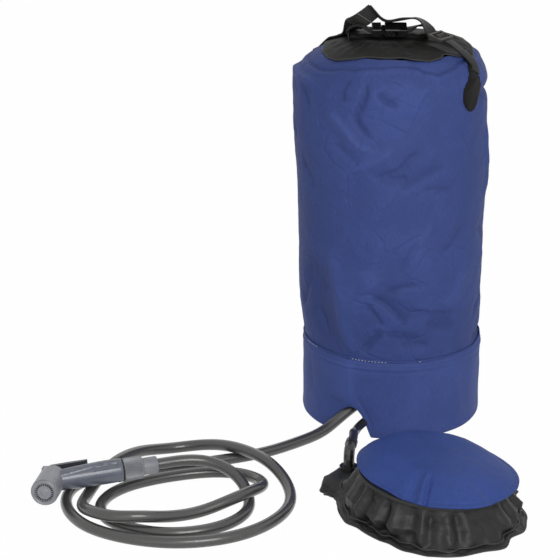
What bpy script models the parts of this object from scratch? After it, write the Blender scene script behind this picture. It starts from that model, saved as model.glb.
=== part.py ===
"""A camp shower bag that a foot pump puts under pressure, with its hose and handset.

Metres, +Z up. The front of the bag looks towards -Y. The bag is drawn round its own
axis, and at the end everything moves together so that the origin is the middle of the
footprint of the bag, the pump and the handset.
"""
import math

import bmesh
import bpy
import numpy as np
from mathutils import Matrix, Vector

# Clearances and drawing limits
GAP = 0.0003             # left between two pieces that touch
RUNNING = 0.00025        # left round a pin or a rod that moves
OVERRUN = 0.004          # how far a cutter runs past what it cuts
MERGE = 0.00001          # vertices closer than this are one

# Tank, a tube of coated fabric
FABRIC = 0.002
TANK_H = 0.345
BELLY_R = 0.110
COLLAR_EDGE_R = 0.084
TANK_SIDES = 36
WALL_SHARES = ((0.03, 0.0), (0.17, 0.38), (0.37, 0.62), (0.60, 0.83), (0.83, 1.0))
SHOULDER_SHARES = ((0.90, 0.07), (0.94, 0.20), (0.97, 0.43), (0.99, 0.75), (1.0, 1.0))

# Base skirt, its arch, the panel that closes the tank and the welt over the seam
SKIRT_R = 0.105
SKIRT_H = 0.0935
SKIRT_WALL = 0.0035
SKIRT_SIDES = 48
ARCH_W = 0.068
ARCH_H = 0.035
ARCH_TURN = math.radians(-32.0)
ARCH_STEPS = 10
PANEL_T = 0.0025
PANEL_DROP = 0.002
WELT_H = 0.004
WELT_W = 0.004

# Collar and rolled mouth
COLLAR_RISE = 0.0077
MOUTH_SHIFT = -0.011
MOUTH_L = 0.098
MOUTH_W = 0.024
ROLL_L = 0.100
ROLL_W = 0.026
ROLL_H = 0.0075
COLLAR_SHARES = (0.0, 0.22, 0.45, 0.7, 0.88, 1.0)
ROLL_SHARES = ((0.0, 0.80), (0.03, 0.97), (0.3, 1.0), (0.5, 0.96), (0.7, 1.0), (0.97, 0.97), (1.0, 0.80))

# Webbing, slider and sewn patches
WEB_W = 0.020
WEB_T = 0.0016
WEB_RIDE = 0.0019        # from the fabric to the middle of the webbing
STRAP_TURN = math.radians(52.0)
STRAP_POINTS = 56
SLIDER_L = 0.018
SLIDER_W = 0.026
SLIDER_T = 0.0035
SLIDER_BAR = 0.003
SLIDER_R = 0.0565
SLIDER_RISE = 0.0166
SLIDER_SLOPE = math.radians(15.0)
PATCH_W = 0.035
PATCH_H = 0.045
PATCH_T = 0.0018
PATCH_DROP = 0.0190
PATCH_LIFT = 0.0006
PATCH_SHARES = ((0.0, 0.14), (0.10, 0.52), (0.26, 0.88), (0.42, 1.0), (0.58, 0.90), (0.76, 0.60),
                (0.90, 0.50), (1.0, 0.48))
# The carry strap from the slider to where it meets the far side: places as shares of
# the belly radius, the height above the roll as a share of the webbing's width, and the
# direction of the webbing's width
STRAP_SHARES = (
    ((0.290, -0.245, 0.42), (0.60, 0.79, -0.03)),
    ((0.245, -0.209, 0.72), (0.35, 0.93, -0.09)),
    ((0.166, -0.173, 0.91), (0.09, 0.98, -0.14)),
    ((0.091, -0.145, 0.88), (0.0, 0.96, -0.26)),
    ((0.009, -0.118, 0.76), (0.0, 0.96, -0.26)),
    ((-0.074, -0.095, 0.70), (0.0, 0.96, -0.26)),
    ((-0.139, -0.086, 0.72), (0.0, 0.96, -0.26)),
    ((-0.178, -0.082, 0.85), (0.0, 0.95, -0.30)),
    ((-0.213, -0.073, 1.07), (0.10, 0.93, -0.36)),
    ((-0.244, -0.059, 1.23), (0.40, 0.60, -0.68)),
    ((-0.272, -0.073, 1.20), (0.62, 0.05, -0.78)),
    ((-0.307, -0.091, 1.03), (0.64, -0.22, -0.72)),
    ((-0.351, -0.100, 0.85), (0.64, -0.25, -0.72)),
    ((-0.388, -0.030, 0.72), (0.66, -0.18, -0.66)),
    ((-0.434, 0.036, 0.52), (0.76, -0.06, -0.54)),
    ((-0.459, 0.086, 0.32), (0.88, 0.06, -0.38)),
    ((-0.467, 0.114, 0.09), (0.86, 0.30, -0.25)),
    ((-0.491, 0.191, -0.17), (0.72, 0.66, -0.05)),
    ((-0.540, 0.290, -0.36), (0.62, 0.79, 0.0)),
)

# Side release buckle
BUCKLE_L = 0.039
BUCKLE_W = 0.020
BUCKLE_T = 0.009
BUCKLE_Y = -0.018
BUCKLE_TILT = math.radians(14.0)
BUCKLE_WALL = 0.0015
BUCKLE_SLOT = 0.0022
SOCKET_L = 0.0245
PLUG_L = 0.0105
TONGUE_W = 0.0032
PRONG_W = 0.0028
PRONG_T = 0.0050
PRONG_INSET = 0.0048
WINDOW_L = 0.0090
WINDOW_AT = 0.0050       # from the socket's mouth to its side windows

# Hoses
WATER_R = 0.00625
AIR_R = 0.005
WATER_POINTS = 104
AIR_POINTS = 16
HOSE_SIDES = 2           # bevel resolution

# Hose fittings under the bottom panel and on the pump
STEM_R = 0.0060
STEM_BORE = 0.0036
FLANGE_R = 0.0105
FLANGE_T = 0.0022
GASKET_T = 0.0015
NUT_ACROSS = 0.0115
NUT_T = 0.0060
BEND_R = 0.0100
LIMB_L = 0.0120
FERRULE_L = 0.0090
FERRULE_WALL = 0.0016
ELBOW_SIDES = 10
RING_SIDES = 16          # gaskets, ferrules, pins and seals
OUTLET_END = (0.0203, -0.0378, 0.0440)
OUTLET_TURN = math.radians(221.2)
INLET_END = (0.0215, -0.0670, 0.0400)
INLET_TURN = math.radians(205.0)

# Foot pump
PUMP_X = 0.029
PUMP_Y = -0.283
PUMP_BASE_R = 0.082
PUMP_BASE_T = 0.004
BELLOWS_R = 0.0965
BELLOWS_WALL = 0.0016
BELLOWS_SIDES = 60
GATHERS = 14
GATHER_DEPTH = 0.0028
GATHER_PHASE = 2.17
GATHER_DRIFT = 1.3
BELLOWS_SHARES = ((0.0, 0.82, 0.0), (0.0, 0.90, 0.4), (0.05, 0.965, 0.9), (0.20, 1.0, 1.0),
                  (0.45, 0.985, 1.0), (0.70, 0.915, 0.7), (0.90, 0.845, 0.2), (1.0, 0.80, 0.0))
TREAD_Z = 0.0400         # the top plate's underside over the pump's middle
TREAD_TILT = math.radians(5.5)
PLATE_R = 0.080
PLATE_T = 0.003
COVER_R = 0.087
COVER_EDGE = 0.0035
COVER_CROWN = 0.0200
SPRING_R = 0.045
SPRING_WIRE = 0.0015
SPRING_TURNS = 4
SPRING_STEPS = 10        # points in a turn
TAB_TURN = math.radians(157.0)
TAB_R = 0.1190
TAB_W = 0.024
PORT_TURN = math.radians(141.5)
PORT_R = 0.1100
PORT_BOSS_R = 0.0110
PORT_BOSS_H = 0.0150
PORT_HOSE_TURN = math.radians(80.0)
PORT_HOSE_Z = 0.0380

# Handset: its frame has +X along the handle, from the head to the hose
HANDSET_AT = (-0.3745, -0.2717, 0.0277)
HANDSET_YAW = math.radians(18.4)
HANDSET_PITCH = math.radians(1.5)
HANDSET_ROLL = math.radians(-4.0)
HEAD_TURN = math.radians(-115.3)
HEAD_R = 0.0147
HEAD_WALL = 0.0030
HEAD_SIDES = 28
HEAD_FRONT = 0.0290      # from the handle's axis to the rim at the face
HEAD_BACK = 0.0110       # from the handle's axis to the back end
CAP_T = 0.0020
BEZEL_T = 0.0020
BEZEL_R = 0.0138
BEZEL_BORE = 0.0106
PLATE_WEB = 0.0016
SPRAY_HOLES = 28
SPRAY_HOLE_R = 0.0006
SPRAY_HOLE_SIDES = 4
SPRAY_RING_R = 0.0085
SPRAY_DOME = 0.0010
HANDLE_END = 0.0780
HANDLE_BORE = 0.0050
TAIL_R = 0.0080
TAIL_L = 0.0120
HANDLE_SIDES = 24
HANDLE_SHARES = ((0.05, 0.84), (0.20, 0.88), (0.34, 0.93), (0.52, 0.97), (0.70, 1.0), (0.86, 1.0),
                 (0.97, 0.97), (1.0, 0.92))
HANDLE_R = 0.0123
NUT_R = 0.0124
NUT_L = 0.0210
NUT_RIBS = 12
NUT_GROOVE = 0.0006
NUT_LIP = 0.0030
WASHER_T = 0.0012
HOSE_TAIL_FLANGE = 0.0030
HOSE_TAIL_R = 0.0062
HOSE_TAIL_RING_R = 0.0093
HOSE_TAIL_RING_L = 0.0165
LEVER_L = 0.0460
LEVER_T = 0.0045
LEVER_W = 0.0200
LEVER_HUB_R = 0.0030
LEVER_HUB_SIDE = 0.0095  # the pivot's place beside the head's axis
LEVER_HUB_LIFT = 0.0008
LEVER_DROP = 0.0010      # from the pivot's axis to the bar's inner face
PIN_R = 0.0014
EAR_T = 0.0020
EAR_W = 0.0060
PLUNGER_R = 0.0020
PLUNGER_IN = 0.0080      # how far the valve disc lies past the handle's axis
DISC_R = 0.0065
DISC_T = 0.0020
SEAL_R = 0.0050
SEAL_T = 0.0014

# The hoses' routes, point by point as they lie in the photograph
WATER_ROUTE = (
    (0.0200, -0.0380, 0.0440), (0.0106, -0.0462, 0.0440), (-0.0070, -0.0580, 0.0430),
    (-0.0260, -0.0670, 0.0385), (-0.0440, -0.0752, 0.0305), (-0.0590, -0.0842, 0.0220),
    (-0.0725, -0.0940, 0.0140), (-0.0870, -0.1070, 0.0090),
    (-0.112, -0.128, 0.0075), (-0.138, -0.147, 0.0070), (-0.165, -0.162, 0.0070), (-0.196, -0.174, 0.0070),
    (-0.229, -0.185, 0.0070), (-0.264, -0.194, 0.0070), (-0.302, -0.204, 0.0070), (-0.334, -0.219, 0.0070),
    (-0.354, -0.243, 0.0070), (-0.359, -0.272, 0.0070), (-0.352, -0.302, 0.0070), (-0.334, -0.330, 0.0070),
    (-0.306, -0.351, 0.0070), (-0.269, -0.365, 0.0070), (-0.233, -0.369, 0.0070), (-0.197, -0.363, 0.0070),
    (-0.163, -0.346, 0.0070), (-0.134, -0.314, 0.0070), (-0.121, -0.274, 0.0070), (-0.126, -0.238, 0.0120),
    (-0.143, -0.210, 0.0200), (-0.165, -0.186, 0.0220), (-0.193, -0.162, 0.0190), (-0.224, -0.146, 0.0120),
    (-0.257, -0.150, 0.0100), (-0.285, -0.172, 0.0170), (-0.306, -0.202, 0.0220), (-0.321, -0.226, 0.0190),
    (-0.332, -0.248, 0.0115), (-0.338, -0.270, 0.0090), (-0.339, -0.298, 0.0130), (-0.327, -0.325, 0.0200),
    (-0.303, -0.342, 0.0230), (-0.275, -0.343, 0.0230), (-0.246, -0.331, 0.0170), (-0.214, -0.315, 0.0150),
    (-0.187, -0.302, 0.0200), (-0.163, -0.283, 0.0220), (-0.149, -0.256, 0.0160), (-0.150, -0.226, 0.0080),
    (-0.170, -0.208, 0.0070), (-0.203, -0.205, 0.0070), (-0.236, -0.211, 0.0070), (-0.268, -0.223, 0.0070),
    (-0.298, -0.242, 0.0070), (-0.316, -0.266, 0.0070), (-0.321, -0.291, 0.0070), (-0.312, -0.316, 0.0070),
    (-0.290, -0.335, 0.0070), (-0.255, -0.348, 0.0070), (-0.217, -0.345, 0.0070), (-0.186, -0.328, 0.0070),
    (-0.167, -0.299, 0.0070), (-0.166, -0.268, 0.0100), (-0.177, -0.244, 0.0190), (-0.196, -0.229, 0.0260),
    (-0.2185, -0.2228, 0.0296), (-0.2400, -0.2272, 0.0311), (-0.2534, -0.2314, 0.0310),
    (-0.2652, -0.2353, 0.0307),
)
AIR_ROUTE = (
    (0.0212, -0.0672, 0.0400), (0.0120, -0.0714, 0.0400), (-0.0055, -0.0788, 0.0350),
    (-0.0225, -0.0856, 0.0245), (-0.0350, -0.0946, 0.0175), (-0.0428, -0.1068, 0.0160),
    (-0.0465, -0.1230, 0.0187), (-0.0485, -0.1420, 0.0260), (-0.0500, -0.1620, 0.0340),
    (-0.0514, -0.1825, 0.0380), (-0.0532, -0.1925, 0.0380),
)


def clear_scene():
    for obj in list(bpy.data.objects):
        bpy.data.objects.remove(obj, do_unlink=True)


def material(name, colour, roughness, metallic=0.0):
    mat = bpy.data.materials.new(name)
    mat.use_nodes = True
    shader = mat.node_tree.nodes["Principled BSDF"]
    shader.inputs["Base Color"].default_value = (*colour, 1.0)
    shader.inputs["Roughness"].default_value = roughness
    shader.inputs["Metallic"].default_value = metallic
    return mat


def empty(name, parent, location=(0.0, 0.0, 0.0), rotation=(0.0, 0.0, 0.0)):
    obj = bpy.data.objects.new(name, None)
    bpy.context.collection.objects.link(obj)
    obj.parent = parent
    obj.location = location
    obj.rotation_euler = rotation
    return obj


def finish(name, bm, mat, parent, location=(0.0, 0.0, 0.0), smooth=math.radians(35.0)):
    """Turn a bmesh into a named object under its parent."""
    bmesh.ops.recalc_face_normals(bm, faces=bm.faces)
    mesh = bpy.data.meshes.new(name)
    bm.to_mesh(mesh)
    bm.free()
    mesh.shade_smooth()
    mesh.set_sharp_from_angle(angle=smooth)
    mesh.materials.append(mat)
    obj = bpy.data.objects.new(name, mesh)
    bpy.context.collection.objects.link(obj)
    obj.parent = parent
    obj.location = location
    return obj


def spin_round(bm, verts, edges, sides):
    """Spin a line once round +Z and join its ends."""
    bmesh.ops.spin(bm, geom=verts + edges, cent=(0.0, 0.0, 0.0), axis=(0.0, 0.0, 1.0), dvec=(0.0, 0.0, 0.0),
                   angle=2.0 * math.pi, steps=sides, use_merge=True)
    bmesh.ops.remove_doubles(bm, verts=bm.verts, dist=MERGE)


def turned(name, profile, sides, mat, parent, location=(0.0, 0.0, 0.0)):
    """Spin a closed outline of (radius, height) points round +Z."""
    bm = bmesh.new()
    verts = [bm.verts.new((radius, 0.0, height)) for radius, height in profile]
    edges = [bm.edges.new((a, b)) for a, b in zip(verts, verts[1:] + verts[:1])]
    spin_round(bm, verts, edges, sides)
    return finish(name, bm, mat, parent, location)


def solid_turned(name, profile, sides, mat, parent, location=(0.0, 0.0, 0.0)):
    """Spin an open outline that starts and ends on the axis."""
    bm = bmesh.new()
    verts = [bm.verts.new((radius, 0.0, height)) for radius, height in profile]
    edges = [bm.edges.new((a, b)) for a, b in zip(verts, verts[1:])]
    spin_round(bm, verts, edges, sides)
    return finish(name, bm, mat, parent, location)


def circle(radius, height, sides):
    turns = [2.0 * math.pi * index / sides for index in range(sides)]
    return [(radius * math.cos(turn), radius * math.sin(turn), height) for turn in turns]


def lofted(name, rings, mat, parent, hollow=False, location=(0.0, 0.0, 0.0)):
    """Skin a row of rings. A hollow one runs back to its first ring, a solid one is capped."""
    bm = bmesh.new()
    rows = [[bm.verts.new(point) for point in ring] for ring in rings]
    pairs = list(zip(rows, rows[1:]))
    if hollow:
        pairs.append((rows[-1], rows[0]))
    for low, high in pairs:
        for a, b, c, d in zip(low, low[1:] + low[:1], high[1:] + high[:1], high):
            bm.faces.new((a, b, c, d))
    if not hollow:
        bm.faces.new(rows[0])
        bm.faces.new(rows[-1])
    return finish(name, bm, mat, parent, location)


def box_mesh(bm, low, high):
    centre = (Vector(low) + Vector(high)) / 2.0
    size = Vector(high) - Vector(low)
    place = Matrix.Translation(centre) @ Matrix.Diagonal((*size, 1.0))
    return bmesh.ops.create_cube(bm, size=1.0, matrix=place)["verts"]


def block(name, low, high, mat, parent, round_by=0.0, location=(0.0, 0.0, 0.0)):
    """A box between two corners, with its edges rounded."""
    bm = bmesh.new()
    box_mesh(bm, low, high)
    if round_by > 0.0:
        bmesh.ops.bevel(bm, geom=bm.edges[:], offset=round_by, segments=2, profile=0.7, affect="EDGES")
    return finish(name, bm, mat, parent, location)


def cutter(name, bm, parent):
    obj = finish(name, bm, bpy.data.materials[0], parent)
    obj.hide_render = True
    obj.display_type = "WIRE"
    return obj


def cut(target, tool, operation="DIFFERENCE"):
    change = target.modifiers.new("cut", "BOOLEAN")
    change.operation = operation
    change.object = tool
    change.solver = "EXACT"


def round_tool(name, radius, low, high, parent, sides=24, at=(0.0, 0.0)):
    """A cylinder along the parent's +Z, used to cut or to join."""
    bm = bmesh.new()
    place = Matrix.Translation((at[0], at[1], (low + high) / 2.0))
    bmesh.ops.create_cone(bm, cap_ends=True, segments=sides, radius1=radius, radius2=radius, depth=high - low,
                          matrix=place)
    return cutter(name, bm, parent)


def ring_profile(inner, outer, low, high):
    return ((inner, low), (outer, low), (outer, high), (inner, high))


def offset_profile(points, distance):
    """Move an open (radius, height) line to its left by a distance."""
    line = np.array(points)
    steps = np.diff(line, axis=0)
    normals = np.stack((-steps[:, 1], steps[:, 0]), axis=1)
    normals /= np.linalg.norm(normals, axis=1)[:, None]
    joined = np.vstack((normals[:1], normals[:-1] + normals[1:], normals[-1:]))
    joined /= np.linalg.norm(joined, axis=1)[:, None]
    return [tuple(point) for point in line + joined * distance]


def smooth_curve(points, count):
    """Points at even steps along a natural cubic spline through the given points."""
    knots = np.array(points, dtype=float)
    steps = np.linalg.norm(np.diff(knots, axis=0), axis=1) ** 0.5
    at = np.concatenate(((0.0,), np.cumsum(steps)))
    size = len(knots)
    system = np.eye(size)
    right = np.zeros_like(knots)
    for row in range(1, size - 1):
        before, after = steps[row - 1], steps[row]
        system[row, row - 1:row + 2] = (before, 2.0 * (before + after), after)
        right[row] = 6.0 * ((knots[row + 1] - knots[row]) / after - (knots[row] - knots[row - 1]) / before)
    bends = np.linalg.solve(system, right)
    fine = np.linspace(0.0, at[-1], 40 * size)
    span = np.clip(np.searchsorted(at, fine, side="right") - 1, 0, size - 2)
    width = steps[span][:, None]
    far = ((fine - at[span])[:, None]) / width
    near = 1.0 - far
    path = (near * knots[span] + far * knots[span + 1]
            + width ** 2 / 6.0 * ((near ** 3 - near) * bends[span] + (far ** 3 - far) * bends[span + 1]))
    run = np.concatenate(((0.0,), np.cumsum(np.linalg.norm(np.diff(path, axis=0), axis=1))))
    even = np.linspace(0.0, run[-1], count)
    return np.stack([np.interp(even, run, path[:, axis]) for axis in range(3)], axis=1)


def report_hose(name, path, radius):
    """Print a hose's length and the least gap between two of its stretches."""
    fine = smooth_curve(path, 1200)
    step = float(np.linalg.norm(np.diff(fine, axis=0), axis=1).mean())
    apart = np.linalg.norm(fine[:, None] - fine[None], axis=2)
    order = np.arange(len(fine))
    near = np.abs(order[:, None] - order[None]) * step < 10.0 * radius
    apart[near] = np.inf
    gap = float(apart.min()) - 2.0 * radius
    print(f"{name}: {step * (len(fine) - 1):.3f} m long, least gap to itself {gap * 1000.0:.2f} mm")


def hose(name, path, radius, mat, parent):
    """A round tube along a path, as a curve with a round bevel and closed ends."""
    data = bpy.data.curves.new(name, "CURVE")
    data.dimensions = "3D"
    data.bevel_depth = radius
    data.bevel_resolution = HOSE_SIDES
    data.use_fill_caps = True
    line = data.splines.new("POLY")
    line.points.add(len(path) - 1)
    for point, place in zip(line.points, path):
        point.co = (*place, 1.0)
    data.materials.append(mat)
    obj = bpy.data.objects.new(name, data)
    bpy.context.collection.objects.link(obj)
    obj.parent = parent
    return obj


def webbing(name, path, across, width, thick, mat, parent):
    """A flat strap along a path; across gives the direction of its width at each point."""
    rings = []
    count = len(path)
    for index in range(count):
        along = Vector(path[min(index + 1, count - 1)]) - Vector(path[max(index - 1, 0)])
        side = Vector(across[index]).normalized()
        up = along.cross(side).normalized()
        here = Vector(path[index])
        half = side * width / 2.0
        rise = up * thick / 2.0
        rings.append((here + half + rise, here - half + rise, here - half - rise, here + half - rise))
    return lofted(name, rings, mat, parent)


# Heights and places that follow from the sizes above
PANEL_TOP = SKIRT_H - PANEL_DROP
PANEL_LOW = PANEL_TOP - PANEL_T
TANK_FOOT_Z = PANEL_TOP + GAP
TANK_FOOT_R = SKIRT_R - WELT_W
TANK_TOP_Z = TANK_FOOT_Z + TANK_H
COLLAR_Z = TANK_TOP_Z + GAP
COLLAR_TOP = COLLAR_Z + COLLAR_RISE
ROLL_Z = COLLAR_TOP + GAP
ROLL_TOP = ROLL_Z + ROLL_H
BUCKLE_Z = ROLL_TOP + BUCKLE_T / 2.0 / math.cos(BUCKLE_TILT) + GAP
LEVER_HUB_W = LEVER_W - 2.0 * (EAR_T + RUNNING * 2.0)


def tank_profile():
    """The tank's outer line from its foot to the collar, as (radius, height)."""
    line = [(TANK_FOOT_R, TANK_FOOT_Z)]
    for height, share in WALL_SHARES:
        line.append((TANK_FOOT_R + (BELLY_R - TANK_FOOT_R) * share, TANK_FOOT_Z + TANK_H * height))
    for height, share in SHOULDER_SHARES:
        line.append((BELLY_R + (COLLAR_EDGE_R - BELLY_R) * share, TANK_FOOT_Z + TANK_H * height))
    return line


def tank_radius(height):
    line = tank_profile()
    return float(np.interp(height, [z for r, z in line], [r for r, z in line]))


def mouth_radius(angle):
    """How far the rolled mouth reaches from its middle in one direction."""
    across = abs(math.cos(angle)) / (MOUTH_L / 2.0)
    deep = abs(math.sin(angle)) / (MOUTH_W / 2.0)
    return (across ** 4 + deep ** 4) ** -0.25


def collar_ring(share, scale=1.0, drop=0.0):
    """One ring of the collar, between the round edge and the flat mouth."""
    ring = []
    height = COLLAR_Z + COLLAR_RISE * share ** 0.9 - drop
    for index in range(TANK_SIDES):
        angle = 2.0 * math.pi * index / TANK_SIDES
        reach = COLLAR_EDGE_R * (1.0 - share) + mouth_radius(angle) * share
        x = MOUTH_SHIFT * share + reach * scale * math.cos(angle)
        ring.append((x, reach * scale * math.sin(angle), height))
    return ring


def make_tank(mats, root):
    outer = tank_profile()
    inner = offset_profile(outer, FABRIC)
    inner[0] = (TANK_FOOT_R - FABRIC, TANK_FOOT_Z)
    turned("tank_wall", outer + inner[::-1], TANK_SIDES, mats["blue_fabric"], root)


def make_collar(mats, root):
    scale = (COLLAR_EDGE_R - FABRIC) / COLLAR_EDGE_R
    rings = [collar_ring(share) for share in COLLAR_SHARES]
    rings += [collar_ring(share, scale, FABRIC * share) for share in reversed(COLLAR_SHARES)]
    lofted("collar", rings, mats["black_fabric"], root, hollow=True)


def make_roll(mats, root):
    """The mouth folded over three times, a flat bar across the top."""
    rings = []
    for along, share in ROLL_SHARES:
        ring = []
        for index in range(16):
            angle = 2.0 * math.pi * (index + 0.5) / 16
            reach = (abs(math.cos(angle)) ** 3 + abs(math.sin(angle)) ** 3) ** (-1.0 / 3.0)
            y = math.cos(angle) * reach * share * ROLL_W / 2.0
            z = ROLL_Z + ROLL_H / 2.0 + math.sin(angle) * reach * ROLL_H / 2.0 * share
            ring.append((MOUTH_SHIFT + ROLL_L * (along - 0.5), y, z))
        rings.append(ring)
    lofted("closure_roll", rings, mats["black_fabric"], root)


def make_skirt(mats, root):
    inner = SKIRT_R - SKIRT_WALL
    profile = ring_profile(inner, SKIRT_R, 0.0, SKIRT_H)
    skirt = turned("base_skirt", profile, SKIRT_SIDES, mats["blue_fabric"], root)
    bm = bmesh.new()
    outline = [(ARCH_W / 2.0, -OVERRUN)]
    for step in range(ARCH_STEPS + 1):
        angle = math.pi * step / ARCH_STEPS
        outline.append((math.cos(angle) * ARCH_W / 2.0, math.sin(angle) * ARCH_H))
    outline.append((-ARCH_W / 2.0, -OVERRUN))
    face = bm.faces.new([bm.verts.new((x, -inner / 2.0, z)) for x, z in outline])
    grown = bmesh.ops.extrude_face_region(bm, geom=[face])
    moved = [item for item in grown["geom"] if isinstance(item, bmesh.types.BMVert)]
    bmesh.ops.translate(bm, verts=moved, vec=(0.0, -SKIRT_R / 2.0 - OVERRUN - SKIRT_WALL, 0.0))
    arch = cutter("arch_cutter", bm, root)
    arch.rotation_euler = (0.0, 0.0, ARCH_TURN)
    cut(skirt, arch)
    welt = ring_profile(TANK_FOOT_R + GAP, SKIRT_R + WELT_W * 0.1, SKIRT_H + GAP, SKIRT_H + GAP + WELT_H)
    turned("seam_welt", welt, SKIRT_SIDES, mats["blue_fabric"], root)


def make_panel(mats, root, holes):
    """The tank's bottom, with a hole for each fitting."""
    radius = SKIRT_R - SKIRT_WALL - GAP
    profile = ((0.0, PANEL_LOW), (radius, PANEL_LOW), (radius, PANEL_TOP), (0.0, PANEL_TOP))
    panel = solid_turned("bottom_panel", profile, SKIRT_SIDES, mats["black_fabric"], root)
    for index, place in enumerate(holes):
        cut(panel, round_tool(f"panel_cutter_{index}", STEM_R + GAP, PANEL_LOW - OVERRUN, PANEL_TOP + OVERRUN,
                              root, RING_SIDES, place))


def elbow_rings(path, radii, sides):
    """Rings round a path, each at its own radius; the path turns in one upright plane."""
    rings = []
    count = len(path)
    for index in range(count):
        before = Vector(path[max(index - 1, 0)])
        after = Vector(path[min(index + 1, count - 1)])
        if (after - before).length < MERGE:
            before = Vector(path[max(index - 2, 0)])
        along = (after - before).normalized()
        flat = Vector((path[-1][0] - path[0][0], path[-1][1] - path[0][1], 0.0)).normalized()
        side = Vector((-flat.y, flat.x, 0.0))
        up = along.cross(side).normalized()
        here = Vector(path[index])
        ring = []
        for step in range(sides):
            angle = 2.0 * math.pi * step / sides
            ring.append(here + side * math.cos(angle) * radii[index] + up * math.sin(angle) * radii[index])
        rings.append(ring)
    return rings


def elbow(name, foot, end, seat_z, mat, parent, hose_r):
    """A hollow elbow from its foot, past a flange against its seat, round a bend to the hose."""
    foot = Vector(foot)
    end = Vector(end)
    flat = Vector((end.x - foot.x, end.y - foot.y, 0.0)).normalized()
    down = 1.0 if end.z > foot.z else -1.0
    centre = Vector((foot.x, foot.y, end.z - down * BEND_R)) + flat * BEND_R
    step = Vector((0.0, 0.0, down))
    seat = Vector((foot.x, foot.y, seat_z))
    path = [foot, seat, seat, seat + step * FLANGE_T, seat + step * FLANGE_T]
    radii = [STEM_R, STEM_R, FLANGE_R, FLANGE_R, STEM_R]
    for index in range(5):
        angle = math.pi / 2.0 * index / 4
        path.append(centre - flat * BEND_R * math.cos(angle) + step * BEND_R * math.sin(angle))
        radii.append(STEM_R)
    barb = end - flat * FERRULE_L
    limb_r = min(STEM_R, hose_r - FERRULE_WALL * 0.5)
    path += [barb, barb, end]
    radii += [STEM_R, limb_r, limb_r]
    outer = elbow_rings(path, radii, ELBOW_SIDES)
    inner = elbow_rings(path, [STEM_BORE] * len(path), ELBOW_SIDES)
    keep = [0]
    keep += [index for index in range(1, len(path)) if (path[index] - path[index - 1]).length > MERGE]
    rings = outer + [inner[index] for index in reversed(keep)]
    lofted(name, rings, mat, parent, hollow=True)
    return limb_r


def ferrule(name, end, flat, hose_r, inner_r, mat, parent):
    """The crimped ring round the end of an elbow, where the hose goes on."""
    profile = ring_profile(inner_r + GAP, hose_r + FERRULE_WALL, 0.0, FERRULE_L - GAP)
    obj = turned(name, profile, RING_SIDES, mat, parent)
    obj.location = Vector(end) - Vector(flat) * (FERRULE_L - GAP)
    obj.rotation_euler = Vector(flat).to_track_quat("Z", "Y").to_euler()


def hex_nut(name, place, mat, parent):
    """The backing nut inside the tank, six-sided outside and round inside."""
    sides = 24
    rings = []
    for height, bore in ((PANEL_TOP + GAP, False), (PANEL_TOP + NUT_T, False), (PANEL_TOP + NUT_T, True),
                         (PANEL_TOP + GAP, True)):
        ring = []
        for index in range(sides):
            angle = 2.0 * math.pi * index / sides
            corner = math.remainder(angle, math.pi / 3.0)
            reach = STEM_R + GAP if bore else NUT_ACROSS * math.cos(math.pi / 6.0) / math.cos(corner)
            ring.append((reach * math.cos(angle), reach * math.sin(angle), height))
        rings.append(ring)
    lofted(name, rings, mat, parent, hollow=True, location=place)


def tank_fitting(prefix, end, turn, hose_r, mats, root):
    """Nut, gasket, elbow and ferrule where a hose goes through the bottom panel."""
    flat = Vector((math.cos(turn), math.sin(turn), 0.0))
    foot = Vector(end) - flat * (BEND_R + LIMB_L)
    foot.z = PANEL_TOP + NUT_T + GAP
    seat = PANEL_LOW - GAP - GASKET_T - GAP
    limb_r = elbow(f"{prefix}_elbow", foot, end, seat, mats["black_plastic"], root, hose_r)
    ferrule(f"{prefix}_ferrule", end, flat, hose_r, limb_r, mats["black_plastic"], root)
    place = (foot.x, foot.y, 0.0)
    hex_nut(f"{prefix}_nut", place, mats["black_plastic"], root)
    turned(f"{prefix}_gasket", ring_profile(STEM_R + GAP, FLANGE_R, seat + GAP, PANEL_LOW - GAP), RING_SIDES,
           mats["seal_rubber"], root, place)
    return (foot.x, foot.y)


def make_fittings(mats, root):
    """The two fittings of the bottom panel; gives the places of their holes."""
    water = tank_fitting("outlet", OUTLET_END, OUTLET_TURN, WATER_R, mats, root)
    air = tank_fitting("inlet", INLET_END, INLET_TURN, AIR_R, mats, root)
    return water, air


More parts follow.
